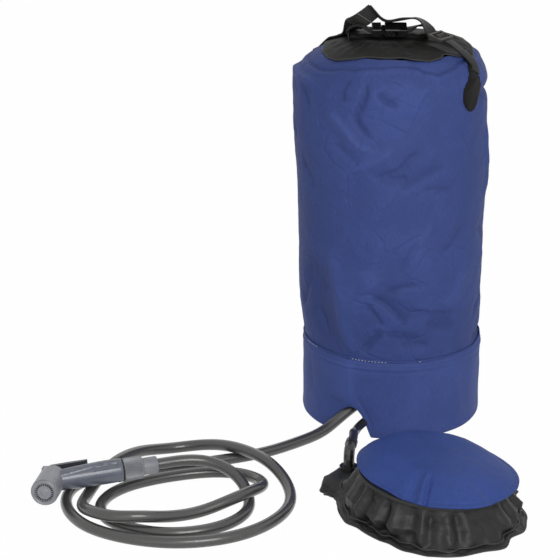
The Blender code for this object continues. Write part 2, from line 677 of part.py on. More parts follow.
def make_buckle(mats, root):
    """Socket on the right, plug on the left, and the two prongs that reach into the socket."""
    frame = empty("buckle_frame", root, (MOUTH_SHIFT, BUCKLE_Y, BUCKLE_Z), (BUCKLE_TILT, 0.0, 0.0))
    half_l = BUCKLE_L / 2.0
    half_w = BUCKLE_W / 2.0
    half_t = BUCKLE_T / 2.0
    mouth = half_l - SOCKET_L
    root_x = -half_l + PLUG_L
    socket = block("buckle_socket", (mouth, -half_w, -half_t), (half_l, half_w, half_t), mats["black_plastic"],
                   frame, BUCKLE_WALL * 0.6)
    bm = bmesh.new()
    inside_w = half_w - BUCKLE_WALL
    inside_t = half_t - BUCKLE_WALL
    back = half_l - BUCKLE_SLOT * 2.6
    box_mesh(bm, (mouth - OVERRUN, -inside_w, -inside_t), (back - BUCKLE_WALL, inside_w, inside_t))
    cut(socket, cutter("socket_cutter", bm, frame))
    bm = bmesh.new()
    box_mesh(bm, (mouth + WINDOW_AT, -half_w - OVERRUN, -PRONG_T / 2.0 - RUNNING),
             (mouth + WINDOW_AT + WINDOW_L, half_w + OVERRUN, PRONG_T / 2.0 + RUNNING))
    cut(socket, cutter("window_cutter", bm, frame))
    bm = bmesh.new()
    box_mesh(bm, (back, -inside_w, -half_t - OVERRUN), (back + BUCKLE_SLOT, inside_w, half_t + OVERRUN))
    cut(socket, cutter("socket_slot_cutter", bm, frame))
    plug = block("buckle_plug", (-half_l, -half_w, -half_t), (root_x, half_w, half_t), mats["black_plastic"],
                 frame, BUCKLE_WALL * 0.6)
    bm = bmesh.new()
    box_mesh(bm, (root_x - BUCKLE_WALL, -TONGUE_W / 2.0, -PRONG_T / 2.0),
             (back - BUCKLE_WALL * 2.0, TONGUE_W / 2.0, PRONG_T / 2.0))
    cut(plug, cutter("tongue", bm, frame), "UNION")
    bm = bmesh.new()
    box_mesh(bm, (-half_l + BUCKLE_WALL, -inside_w, -half_t - OVERRUN),
             (-half_l + BUCKLE_WALL + BUCKLE_SLOT, inside_w, half_t + OVERRUN))
    cut(plug, cutter("plug_slot_cutter", bm, frame))
    for side, name in ((-1.0, "buckle_prong_front"), (1.0, "buckle_prong_rear")):
        start = root_x + GAP
        tip = mouth + WINDOW_AT + WINDOW_L - RUNNING * 2.0
        shoulder = mouth + WINDOW_AT + RUNNING * 2.0
        outline = (
            (start, PRONG_INSET), (tip - PRONG_W * 0.5, PRONG_INSET), (tip, PRONG_INSET + PRONG_W * 0.6),
            (shoulder + PRONG_W * 0.8, half_w - RUNNING), (shoulder, half_w - RUNNING),
            (shoulder, PRONG_INSET + PRONG_W), (start, PRONG_INSET + PRONG_W * 0.8),
        )
        pivot = PRONG_INSET + PRONG_W * 0.4
        places = [(x - start, (y - pivot) * side, -PRONG_T / 2.0) for x, y in outline]
        bm = bmesh.new()
        face = bm.faces.new([bm.verts.new(place) for place in places])
        grown = bmesh.ops.extrude_face_region(bm, geom=[face])
        moved = [item for item in grown["geom"] if isinstance(item, bmesh.types.BMVert)]
        bmesh.ops.translate(bm, verts=moved, vec=(0.0, 0.0, PRONG_T))
        finish(name, bm, mats["black_plastic"], frame, (start, pivot * side, 0.0))


def buckle_point(x, y, z):
    """A point of the buckle's own frame, in the bag's frame."""
    turn = Matrix.Rotation(BUCKLE_TILT, 4, "X")
    return Matrix.Translation((MOUTH_SHIFT, BUCKLE_Y, BUCKLE_Z)) @ turn @ Vector((x, y, z))


def make_closing_webs(mats, root):
    """Two short webs from the ends of the roll up to the buckle."""
    for side, name in ((-1.0, "closing_web_left"), (1.0, "closing_web_right")):
        start = buckle_point(side * (BUCKLE_L / 2.0 + GAP), 0.0, 0.0)
        corner = MOUTH_SHIFT + side * ROLL_L / 2.0
        down_x = corner + side * (GAP + WEB_T / 2.0)
        high = ROLL_TOP + WEB_T * 1.1
        run = corner - start.x
        path = [
            tuple(start),
            (start.x + side * WEB_T * 1.5, start.y, start.z),
            (start.x + run * 0.38, start.y * 0.70, start.z - (start.z - high) * 0.12),
            (start.x + run * 0.70, start.y * 0.30, start.z - (start.z - high) * 0.50),
            (corner - side * WEB_T, 0.0, high),
            (corner + side * WEB_T * 0.7, 0.0, ROLL_TOP + WEB_T * 0.5),
            (down_x, 0.0, ROLL_TOP - WEB_T * 1.2),
            (down_x, 0.0, ROLL_Z + WEB_T),
        ]
        across = [(0.0, math.cos(BUCKLE_TILT * share), math.sin(BUCKLE_TILT * share)) for share in
                  (1.0, 1.0, 0.7, 0.3, 0.0, 0.0, 0.0, 0.0)]
        webbing(name, path, across, WEB_W - BUCKLE_WALL * 2.0, WEB_T, mats["black_webbing"], root)


def skin_line(direction, low_z, end_r):
    """The line of the bag's skin on one side, from a height on the wall to a radius on the collar."""
    line = [(tank_radius(low_z), low_z)]
    line += [(r, z) for r, z in tank_profile() if z > low_z + FABRIC]
    angle = math.atan2(direction[1], direction[0])
    reach = mouth_radius(angle)
    for share in COLLAR_SHARES[1:]:
        radius = COLLAR_EDGE_R * (1.0 - share) + reach * share
        if radius > end_r:
            line.append((radius, COLLAR_Z + COLLAR_RISE * share ** 0.9))
    return offset_profile(line, -WEB_RIDE)


def make_straps(mats, root):
    right = (math.sin(STRAP_TURN), -math.cos(STRAP_TURN))
    left = (-right[0], -right[1])
    side = (right[1], -right[0], 0.0)
    neck = TANK_TOP_Z - PATCH_DROP + GAP
    slope = (math.cos(SLIDER_SLOPE), math.sin(SLIDER_SLOPE))
    slider_z = COLLAR_Z + SLIDER_RISE
    # the slider, a frame with a middle bar, leaning with the collar
    place = (right[0] * SLIDER_R, right[1] * SLIDER_R, slider_z)
    frame = empty("slider_frame", root, place, (0.0, 0.0, math.atan2(right[1], right[0])))
    lean = empty("slider_lean", frame, (0.0, 0.0, 0.0), (0.0, SLIDER_SLOPE, 0.0))
    half_l = SLIDER_L / 2.0
    half_w = SLIDER_W / 2.0
    slider = block("strap_slider", (-half_l, -half_w, -SLIDER_T / 2.0), (half_l, half_w, SLIDER_T / 2.0),
                   mats["black_plastic"], lean, SLIDER_T * 0.2)
    bm = bmesh.new()
    inner_w = half_w - SLIDER_BAR
    for sign in (-1.0, 1.0):
        near = sign * SLIDER_BAR / 2.0
        far = sign * (half_l - SLIDER_BAR)
        box_mesh(bm, (min(near, far), -inner_w, -SLIDER_T), (max(near, far), inner_w, SLIDER_T))
    cut(slider, cutter("slider_cutter", bm, lean))
    # the lower strap, from the right patch over the shoulder to the slider
    outer_end = half_l + GAP
    line = skin_line(right, neck, SLIDER_R + SLIDER_L)
    for run in (outer_end + WEB_T * 2.0, outer_end):
        line.append((SLIDER_R + run * slope[0], slider_z - run * slope[1]))
    path = smooth_curve([(right[0] * r, right[1] * r, z) for r, z in line], 16)
    webbing("lower_strap", path, [side] * 16, WEB_W, WEB_T, mats["black_webbing"], root)
    # the carry strap, from the slider over the buckle and down to the far patch
    points = []
    across = []
    for run in (outer_end, outer_end + WEB_T * 2.0):
        radius = SLIDER_R - run * slope[0]
        points.append((right[0] * radius, right[1] * radius, slider_z + run * slope[1]))
        across.append((-side[0], -side[1], 0.0))
    for (x, y, rise), width_way in STRAP_SHARES:
        points.append((x * BELLY_R, y * BELLY_R, ROLL_TOP + rise * WEB_W))
        across.append(width_way)
    line = skin_line(left, neck, COLLAR_EDGE_R * 0.86)[::-1]
    for r, z in line:
        points.append((left[0] * r, left[1] * r, z))
        across.append((-side[0], -side[1], 0.0))
    path = smooth_curve(points, STRAP_POINTS)
    knots = np.array(points)
    steps = np.concatenate(((0.0,), np.cumsum(np.linalg.norm(np.diff(knots, axis=0), axis=1))))
    steps /= steps[-1]
    ways = [tuple(np.interp(share, steps, np.array(across)[:, axis]) for axis in range(3))
            for share in np.linspace(0.0, 1.0, STRAP_POINTS)]
    webbing("carry_strap", path, ways, WEB_W, WEB_T, mats["black_webbing"], root)
    for name, way in (("anchor_patch_right", right), ("anchor_patch_left", left)):
        make_patch(name, math.atan2(way[1], way[0]), mats, root)


def make_patch(name, azimuth, mats, root):
    """A leaf of black fabric sewn flat on the tank, with its neck at the top."""
    top = TANK_TOP_Z - PATCH_DROP
    columns = 7
    rings = []
    for height, share in PATCH_SHARES:
        z = top - PATCH_H * (1.0 - height)
        radius = tank_radius(z) + PATCH_LIFT
        spread = PATCH_W / 2.0 * share / radius
        angles = [azimuth + spread * (2.0 * index / (columns - 1) - 1.0) for index in range(columns)]
        inner = [(radius * math.cos(a), radius * math.sin(a), z) for a in angles]
        far = radius + PATCH_T
        outer = [(far * math.cos(a), far * math.sin(a), z) for a in angles]
        rings.append(inner + outer[::-1])
    lofted(name, rings, mats["black_fabric"], root)


def tread_plane(x):
    """Height of the underside of the pump's top plate, at a place across the pump."""
    return TREAD_Z - math.tan(TREAD_TILT) * x


def make_pump(mats, root):
    pump = empty("pump_frame", root, (PUMP_X, PUMP_Y, 0.0))
    port = (math.cos(PORT_TURN) * PORT_R, math.sin(PORT_TURN) * PORT_R)
    make_pump_base(mats, pump, port)
    make_bellows(mats, pump)
    make_spring(mats, pump)
    tread = empty("tread_frame", pump, (0.0, 0.0, TREAD_Z), (0.0, TREAD_TILT, 0.0))
    plate = ((0.0, 0.0), (PLATE_R, 0.0), (PLATE_R, PLATE_T), (0.0, PLATE_T))
    solid_turned("pump_top_plate", plate, 48, mats["black_plastic"], tread)
    make_cover(mats, tread)
    flat = Vector((math.cos(PORT_HOSE_TURN), math.sin(PORT_HOSE_TURN), 0.0))
    seat = PORT_BOSS_H + GAP + GASKET_T + GAP
    end = Vector((port[0], port[1], PORT_HOSE_Z)) + flat * (BEND_R + LIMB_L)
    foot = (port[0], port[1], PUMP_BASE_T + GAP)
    limb_r = elbow("port_elbow", foot, end, seat, mats["black_plastic"], pump, AIR_R)
    ferrule("port_ferrule", end, flat, AIR_R, limb_r, mats["black_plastic"], pump)
    turned("port_gasket", ring_profile(STEM_R + GAP, FLANGE_R, PORT_BOSS_H + GAP, seat - GAP), RING_SIDES,
           mats["seal_rubber"], pump, (port[0], port[1], 0.0))


def make_pump_base(mats, pump, port):
    """The flat base, with an arm out to the boss that holds the air port and a foot tab beside it."""
    profile = ((0.0, 0.0), (PUMP_BASE_R, 0.0), (PUMP_BASE_R, PUMP_BASE_T), (0.0, PUMP_BASE_T))
    base = solid_turned("pump_base", profile, 48, mats["black_plastic"], pump)
    bm = bmesh.new()
    box_mesh(bm, (PUMP_BASE_R - PORT_BOSS_R, -PORT_BOSS_R, 0.0), (PORT_R, PORT_BOSS_R, PUMP_BASE_T))
    arm = cutter("port_arm", bm, pump)
    arm.rotation_euler = (0.0, 0.0, PORT_TURN)
    cut(base, arm, "UNION")
    bm = bmesh.new()
    box_mesh(bm, (PUMP_BASE_R - TAB_W / 2.0, -TAB_W / 2.0, 0.0), (TAB_R, TAB_W / 2.0, PUMP_BASE_T))
    tab = cutter("foot_tab", bm, pump)
    tab.rotation_euler = (0.0, 0.0, TAB_TURN)
    cut(base, tab, "UNION")
    cut(base, round_tool("port_boss", PORT_BOSS_R, 0.0, PORT_BOSS_H, pump, 24, port), "UNION")
    cut(base, round_tool("port_bore", STEM_R + GAP, PUMP_BASE_T, PORT_BOSS_H + OVERRUN, pump, RING_SIDES, port))


def make_bellows(mats, pump):
    """The gathered fabric wall between the base and the tilted top plate."""
    low = PUMP_BASE_T + GAP
    layers = []
    for inward in (0.0, BELLOWS_WALL):
        rings = []
        for height, reach, gather in BELLOWS_SHARES:
            ring = []
            for index in range(BELLOWS_SIDES):
                angle = 2.0 * math.pi * index / BELLOWS_SIDES
                drift = GATHER_PHASE + GATHER_DRIFT * math.sin(3.0 * angle)
                wave = math.cos(GATHERS * angle + drift) * GATHER_DEPTH * gather
                radius = BELLOWS_R * reach + wave - inward
                x = radius * math.cos(angle)
                high = tread_plane(x) - GAP
                ring.append((x, radius * math.sin(angle), low + (high - low) * height))
            rings.append(ring)
        layers.append(rings)
    lofted("pump_bellows", layers[0] + layers[1][::-1], mats["black_fabric"], pump, hollow=True)


def make_spring(mats, pump):
    """The return spring inside the bellows, leaning with the top plate."""
    rise = SPRING_WIRE + GAP
    low = PUMP_BASE_T + rise
    path = []
    for index in range(SPRING_TURNS * SPRING_STEPS + 1):
        angle = 2.0 * math.pi * index / SPRING_STEPS
        x = SPRING_R * math.cos(angle)
        high = tread_plane(x) - rise - math.tan(TREAD_TILT) * SPRING_WIRE
        share = index / (SPRING_TURNS * SPRING_STEPS)
        path.append((x, SPRING_R * math.sin(angle), low + (high - low) * share))
    spring = hose("pump_spring", path, SPRING_WIRE, mats["steel"], pump)
    spring.data.bevel_resolution = 1


def make_cover(mats, tread):
    """The padded tread, a crowned disc over the top plate."""
    low = PLATE_T + GAP
    profile = [(0.0, low), (PLATE_R * 0.9, low), (COVER_R * 0.975, low - GAP)]
    profile.append((COVER_R, low + COVER_EDGE * 0.5))
    steps = 6
    for index in range(steps + 1):
        share = 1.0 - index / steps
        height = low + COVER_EDGE + (COVER_CROWN - COVER_EDGE) * (1.0 - share ** 2.4)
        profile.append((COVER_R * 0.985 * share, height))
    solid_turned("tread_cover", profile, SKIRT_SIDES - RING_SIDES // 2, mats["blue_fabric"], tread)


def make_handset(mats, root):
    """Handle, spray head, lever and the turning hose nut."""
    hand = empty("handset_frame", root, HANDSET_AT, (HANDSET_ROLL, -HANDSET_PITCH, HANDSET_YAW))
    grip = empty("grip_frame", hand, (0.0, 0.0, 0.0), (0.0, math.pi / 2.0, 0.0))
    head = empty("head_frame", hand, (0.0, 0.0, 0.0), (math.pi / 2.0, 0.0, HEAD_TURN + math.pi / 2.0))
    make_handle(mats, grip, head)
    make_head(mats, grip, head)
    make_hose_end(mats, grip)
    make_lever(mats, hand, head)


def make_handle(mats, grip, head):
    """The handle, with the neck that the turning nut goes over and the water's way through it."""
    profile = [(HANDLE_R * share, HANDLE_END * along) for along, share in HANDLE_SHARES]
    neck_end = HANDLE_END + TAIL_L
    profile += [(TAIL_R, HANDLE_END), (TAIL_R, neck_end), (HANDLE_BORE, neck_end), (HANDLE_BORE, profile[0][1])]
    rings = [circle(radius, height, HANDLE_SIDES) for radius, height in profile]
    handle = lofted("handle_shell", rings, mats["blue_gray_plastic"], grip, hollow=True)
    tool = round_tool("handle_cutter", HEAD_R + GAP, -HEAD_BACK - CAP_T - OVERRUN * 2.0, HEAD_FRONT, head, 40)
    cut(handle, tool)


def make_head(mats, grip, head):
    """The head's frame has +Z out of the face, so its back is at negative heights."""
    bore = HEAD_R - HEAD_WALL
    light = mats["light_gray_plastic"]
    shell = turned("head_shell", (
        (bore, -HEAD_BACK), (HEAD_R - HEAD_WALL * 0.3, -HEAD_BACK), (HEAD_R, -HEAD_BACK + HEAD_WALL * 0.4),
        (HEAD_R, HEAD_FRONT - HEAD_WALL * 0.3), (HEAD_R - HEAD_WALL * 0.25, HEAD_FRONT), (bore, HEAD_FRONT)),
        HEAD_SIDES, light, head)
    cut(shell, round_tool("waterway_cutter", HANDLE_BORE, bore * 0.6, HEAD_R + OVERRUN, grip, 24))
    back = -HEAD_BACK - GAP
    rim = HEAD_R - HEAD_WALL * 0.3
    cap = turned("head_cap", (
        (PLUNGER_R + RUNNING, back - CAP_T), (rim - CAP_T * 0.5, back - CAP_T), (rim, back - CAP_T * 0.5),
        (rim, back), (PLUNGER_R + RUNNING, back)), HEAD_SIDES, light, head)
    # two ears on the cap, either side of the lever's hub
    pivot_z = -(HEAD_BACK + GAP + CAP_T + LEVER_HUB_LIFT + LEVER_HUB_R)
    bm = bmesh.new()
    for sign in (-1.0, 1.0):
        near = sign * (LEVER_HUB_W / 2.0 + RUNNING)
        far = sign * (LEVER_HUB_W / 2.0 + RUNNING + EAR_T)
        box_mesh(bm, (-LEVER_HUB_SIDE - EAR_W / 2.0, min(near, far), pivot_z - EAR_W / 2.0),
                 (-LEVER_HUB_SIDE + EAR_W / 2.0, max(near, far), back - CAP_T * 0.5))
    cut(cap, cutter("cap_ears", bm, head), "UNION")
    bm = bmesh.new()
    place = Matrix.Translation((-LEVER_HUB_SIDE, 0.0, pivot_z)) @ Matrix.Rotation(math.pi / 2.0, 4, "X")
    bmesh.ops.create_cone(bm, cap_ends=True, segments=16, radius1=PIN_R + GAP, radius2=PIN_R + GAP,
                          depth=LEVER_HUB_W + 2.0 * EAR_T + 2.0 * OVERRUN, matrix=place)
    cut(cap, cutter("ear_bore", bm, head))
    front = HEAD_FRONT
    turned("bezel", (
        (BEZEL_BORE, front + GAP), (BEZEL_R, front + GAP), (BEZEL_R, front + GAP + BEZEL_T * 0.5),
        (BEZEL_R - BEZEL_T * 0.5, front + BEZEL_T), (BEZEL_BORE + BEZEL_T * 0.5, front + BEZEL_T),
        (BEZEL_BORE, front + BEZEL_T * 0.7)), HEAD_SIDES, light, head)
    plate_r = bore - GAP
    plate = solid_turned("spray_plate", (
        (0.0, front - PLATE_WEB), (plate_r, front - PLATE_WEB), (plate_r, front), (SPRAY_RING_R * 0.55, front),
        (SPRAY_RING_R * 0.4, front + SPRAY_DOME * 0.7), (0.0, front + SPRAY_DOME)), HEAD_SIDES, light, head)
    bm = bmesh.new()
    for index in range(SPRAY_HOLES):
        angle = 2.0 * math.pi * index / SPRAY_HOLES
        place = Matrix.Translation((SPRAY_RING_R * math.cos(angle), SPRAY_RING_R * math.sin(angle), front))
        bmesh.ops.create_cone(bm, cap_ends=True, segments=SPRAY_HOLE_SIDES, radius1=SPRAY_HOLE_R,
                              radius2=SPRAY_HOLE_R, depth=4.0 * PLATE_WEB, matrix=place)
    cut(plate, cutter("spray_cutter", bm, head))
    seal = ring_profile(PLUNGER_R + RUNNING, SEAL_R, -HEAD_BACK, -HEAD_BACK + SEAL_T)
    turned("plunger_seal", seal, RING_SIDES, mats["seal_rubber"], head)


def make_hose_end(mats, grip):
    """Washer, turning nut and hose tail, all round the handle's axis."""
    start = HANDLE_END + GAP
    washer = HANDLE_END + TAIL_L + GAP
    ring = ring_profile(HANDLE_BORE, TAIL_R, washer, washer + WASHER_T)
    turned("nut_washer", ring, RING_SIDES, mats["seal_rubber"], grip)
    flange = washer + WASHER_T + GAP
    lip = flange + HOSE_TAIL_FLANGE + GAP
    end = lip + NUT_LIP
    rings = []
    count = NUT_RIBS * 4
    bore = TAIL_R + GAP * 2.0
    lip_bore = HOSE_TAIL_R + GAP * 2.0
    for height, radius, groove in (
            (start, NUT_R * 0.93, 0.0), (start + NUT_GROOVE * 2.0, NUT_R, 1.0),
            (end - NUT_GROOVE * 2.0, NUT_R, 1.0), (end, NUT_R * 0.95, 0.0), (end, lip_bore, 0.0),
            (lip, lip_bore, 0.0), (lip, bore, 0.0), (start, bore, 0.0)):
        ring = []
        for index in range(count):
            angle = 2.0 * math.pi * index / count
            reach = radius - (NUT_GROOVE * groove if index % 4 in (2, 3) else 0.0)
            ring.append((reach * math.cos(angle), reach * math.sin(angle), height))
        rings.append(ring)
    lofted("hose_nut", rings, mats["gray_plastic"], grip, hollow=True)
    ring_z = end + GAP
    tail = ((STEM_BORE, flange), (TAIL_R, flange), (TAIL_R, flange + HOSE_TAIL_FLANGE),
            (HOSE_TAIL_R, flange + HOSE_TAIL_FLANGE), (HOSE_TAIL_R, ring_z), (HOSE_TAIL_RING_R, ring_z),
            (HOSE_TAIL_RING_R * 0.97, ring_z + HOSE_TAIL_RING_L), (STEM_BORE, ring_z + HOSE_TAIL_RING_L))
    turned("hose_tail", tail, HANDLE_SIDES, mats["gray_plastic"], grip)
    print(f"hose tail ends {ring_z + HOSE_TAIL_RING_L:.4f} m along the handle")


def make_lever(mats, hand, head):
    """The thumb lever with its pin, and the valve plunger that it pushes."""
    back = HEAD_BACK + GAP + CAP_T
    pivot_w = back + LEVER_HUB_LIFT + LEVER_HUB_R
    out = Vector((-math.cos(HEAD_TURN), -math.sin(HEAD_TURN), 0.0))
    side = Vector((out.y, -out.x, 0.0))
    pivot = out * pivot_w - side * LEVER_HUB_SIDE
    lever = empty("lever_frame", hand, pivot)
    bm = bmesh.new()
    outline = []
    for step in range(9):
        angle = math.radians(80.0 + 200.0 * step / 8)
        outline.append((LEVER_HUB_R * math.cos(angle), LEVER_HUB_R * math.sin(angle)))
    outline += [(LEVER_HUB_R * 0.7, -LEVER_DROP), (LEVER_L - LEVER_T, -LEVER_DROP),
                (LEVER_L, -LEVER_DROP + LEVER_T * 0.4), (LEVER_L, -LEVER_DROP + LEVER_T * 0.85),
                (LEVER_L * 0.5, -LEVER_DROP + LEVER_T)]
    face = bm.faces.new([bm.verts.new((x, y, -LEVER_W / 2.0)) for x, y in outline])
    grown = bmesh.ops.extrude_face_region(bm, geom=[face])
    moved = [item for item in grown["geom"] if isinstance(item, bmesh.types.BMVert)]
    bmesh.ops.translate(bm, verts=moved, vec=(0.0, 0.0, LEVER_W))
    bar = finish("trigger_lever", bm, mats["dark_plastic"], lever)
    cut(bar, round_tool("lever_bore", PIN_R + RUNNING, -LEVER_W, LEVER_W, lever, RING_SIDES))
    bm = bmesh.new()
    for sign in (-1.0, 1.0):
        near = sign * LEVER_HUB_W / 2.0
        far = sign * LEVER_W
        box_mesh(bm, (-LEVER_HUB_R * 2.0, -LEVER_HUB_R * 2.0, min(near, far)),
                 (LEVER_HUB_R + EAR_W / 2.0, LEVER_HUB_R * 2.0, max(near, far)))
    cut(bar, cutter("lever_notch", bm, lever))
    length = LEVER_HUB_W + 2.0 * (RUNNING + EAR_T)
    pin = ((0.0, -length / 2.0), (PIN_R, -length / 2.0), (PIN_R, length / 2.0), (0.0, length / 2.0))
    solid_turned("lever_pin", pin, RING_SIDES, mats["steel"], lever)
    # the plunger stops just short of the lever's inner face, which crosses its axis at a slant
    inner_y = pivot.y - LEVER_DROP - GAP
    reach = (inner_y - PLUNGER_R * abs(out.x)) / out.y
    inside = PLUNGER_IN
    plunger = ((0.0, -reach), (PLUNGER_R, -reach), (PLUNGER_R, inside - DISC_T), (DISC_R, inside - DISC_T),
               (DISC_R, inside), (0.0, inside))
    solid_turned("valve_plunger", plunger, RING_SIDES, mats["dark_plastic"], head)


def make_hoses(mats, root):
    water = smooth_curve(WATER_ROUTE, WATER_POINTS)
    air = smooth_curve(AIR_ROUTE, AIR_POINTS)
    hose("water_hose", water, WATER_R, mats["hose_gray"], root)
    hose("air_hose", air, AIR_R, mats["hose_black"], root)
    report_hose("water_hose", WATER_ROUTE, WATER_R)
    report_hose("air_hose", AIR_ROUTE, AIR_R)


def centre_frame(root):
    """Move everything so that the footprint of the rigid pieces is centred on the origin."""
    bpy.context.view_layer.update()
    graph = bpy.context.evaluated_depsgraph_get()
    low = np.full(3, np.inf)
    high = np.full(3, -np.inf)
    for obj in bpy.data.objects:
        if obj.type == "EMPTY" or obj.hide_render or obj.name in ("water_hose", "air_hose"):
            continue
        shape = obj.evaluated_get(graph)
        mesh = shape.to_mesh()
        places = np.array([obj.matrix_world @ vert.co for vert in mesh.vertices])
        low = np.minimum(low, places.min(axis=0))
        high = np.maximum(high, places.max(axis=0))
        shape.to_mesh_clear()
    root.location = (-(low[0] + high[0]) / 2.0, -(low[1] + high[1]) / 2.0, -low[2])


def main():
    clear_scene()
    mats = {
        "blue_fabric": material("blue_fabric", (0.047, 0.068, 0.223), 0.72),
        "black_fabric": material("black_fabric", (0.026, 0.024, 0.021), 0.70),
        "black_webbing": material("black_webbing", (0.020, 0.019, 0.018), 0.65),
        "black_plastic": material("black_plastic", (0.012, 0.012, 0.013), 0.35),
        "dark_plastic": material("dark_plastic", (0.045, 0.048, 0.055), 0.40),
        "blue_gray_plastic": material("blue_gray_plastic", (0.127, 0.136, 0.162), 0.42),
        "gray_plastic": material("gray_plastic", (0.170, 0.170, 0.184), 0.48),
        "light_gray_plastic": material("light_gray_plastic", (0.250, 0.250, 0.250), 0.45),
        "seal_rubber": material("seal_rubber", (0.015, 0.015, 0.015), 0.80),
        "hose_gray": material("hose_gray", (0.070, 0.067, 0.065), 0.45),
        "hose_black": material("hose_black", (0.020, 0.020, 0.020), 0.40),
        "steel": material("steel", (0.55, 0.55, 0.56), 0.30, 1.0),
    }
    root = empty("whole", None)
    make_tank(mats, root)
    make_collar(mats, root)
    make_roll(mats, root)
    make_skirt(mats, root)
    make_panel(mats, root, make_fittings(mats, root))
    make_buckle(mats, root)
    make_closing_webs(mats, root)
    make_straps(mats, root)
    make_pump(mats, root)
    make_handset(mats, root)
    make_hoses(mats, root)
    centre_frame(root)


main()
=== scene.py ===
"""Cloth, straps, hoses, finishes and stage for a camp shower bag with a foot pump.

Metres, +Z up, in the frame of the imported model. The bag is drawn round its own axis:
degrees run round it with its front at -90, and heights on its cloth are in millimetres.
"""
import math

import bmesh
import bpy
import numpy as np
from mathutils import Euler, Matrix, Vector, noise


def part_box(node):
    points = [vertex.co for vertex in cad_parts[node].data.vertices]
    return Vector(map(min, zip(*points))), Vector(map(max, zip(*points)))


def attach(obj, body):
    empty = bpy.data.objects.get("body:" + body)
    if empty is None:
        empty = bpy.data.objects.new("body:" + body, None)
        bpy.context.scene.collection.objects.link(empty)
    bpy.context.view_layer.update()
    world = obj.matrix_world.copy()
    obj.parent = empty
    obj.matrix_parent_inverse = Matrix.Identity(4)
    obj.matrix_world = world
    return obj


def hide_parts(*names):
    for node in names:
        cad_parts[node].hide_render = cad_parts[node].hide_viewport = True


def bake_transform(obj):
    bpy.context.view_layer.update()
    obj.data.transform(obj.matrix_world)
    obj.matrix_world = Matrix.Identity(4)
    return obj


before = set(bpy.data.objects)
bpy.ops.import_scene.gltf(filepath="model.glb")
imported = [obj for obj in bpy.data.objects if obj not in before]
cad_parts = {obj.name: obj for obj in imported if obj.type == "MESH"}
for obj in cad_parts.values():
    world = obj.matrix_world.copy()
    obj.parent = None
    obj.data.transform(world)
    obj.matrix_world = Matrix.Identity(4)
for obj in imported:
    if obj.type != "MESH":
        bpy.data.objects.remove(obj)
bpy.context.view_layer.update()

bl_info = {
    "name": "Camp Shower Bag",
    "version": (1, 0, 0),
    "blender": (4, 5, 0),
    "location": "3D View > Sidebar > Shower Bag",
    "description": "Cloth, straps, hoses and finishes for a camp shower bag with a foot pump",
    "category": "Object",
}

MM = 0.001
MERGE = 0.00001
FULL_TURN = 2.0 * math.pi
BACK = -270.0

# Places that the pieces are drawn from
SKIRT_LOW, SKIRT_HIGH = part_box("base_skirt")
BAG = Vector(((SKIRT_LOW.x + SKIRT_HIGH.x) / 2.0, (SKIRT_LOW.y + SKIRT_HIGH.y) / 2.0, 0.0))
BAG_MIDDLE = BAG + Vector((0.0, 0.0, 0.40))
PUMP = BAG + Vector((0.029, -0.283, 0.0))
TREAD_Z = 0.0400
TREAD_TILT = math.radians(5.5)
TREAD = Matrix.Translation(PUMP + Vector((0.0, 0.0, TREAD_Z))) @ Matrix.Rotation(TREAD_TILT, 4, "Y")
HAND = Matrix.LocRotScale(BAG + Vector((-0.3745, -0.2717, 0.0277)),
                          Euler((math.radians(-4.0), math.radians(-1.5), math.radians(18.4))), None)
GRIP = HAND @ Matrix.Rotation(math.pi / 2.0, 4, "Y")
HEAD = HAND @ Euler((math.pi / 2.0, 0.0, math.radians(-25.3))).to_matrix().to_4x4()

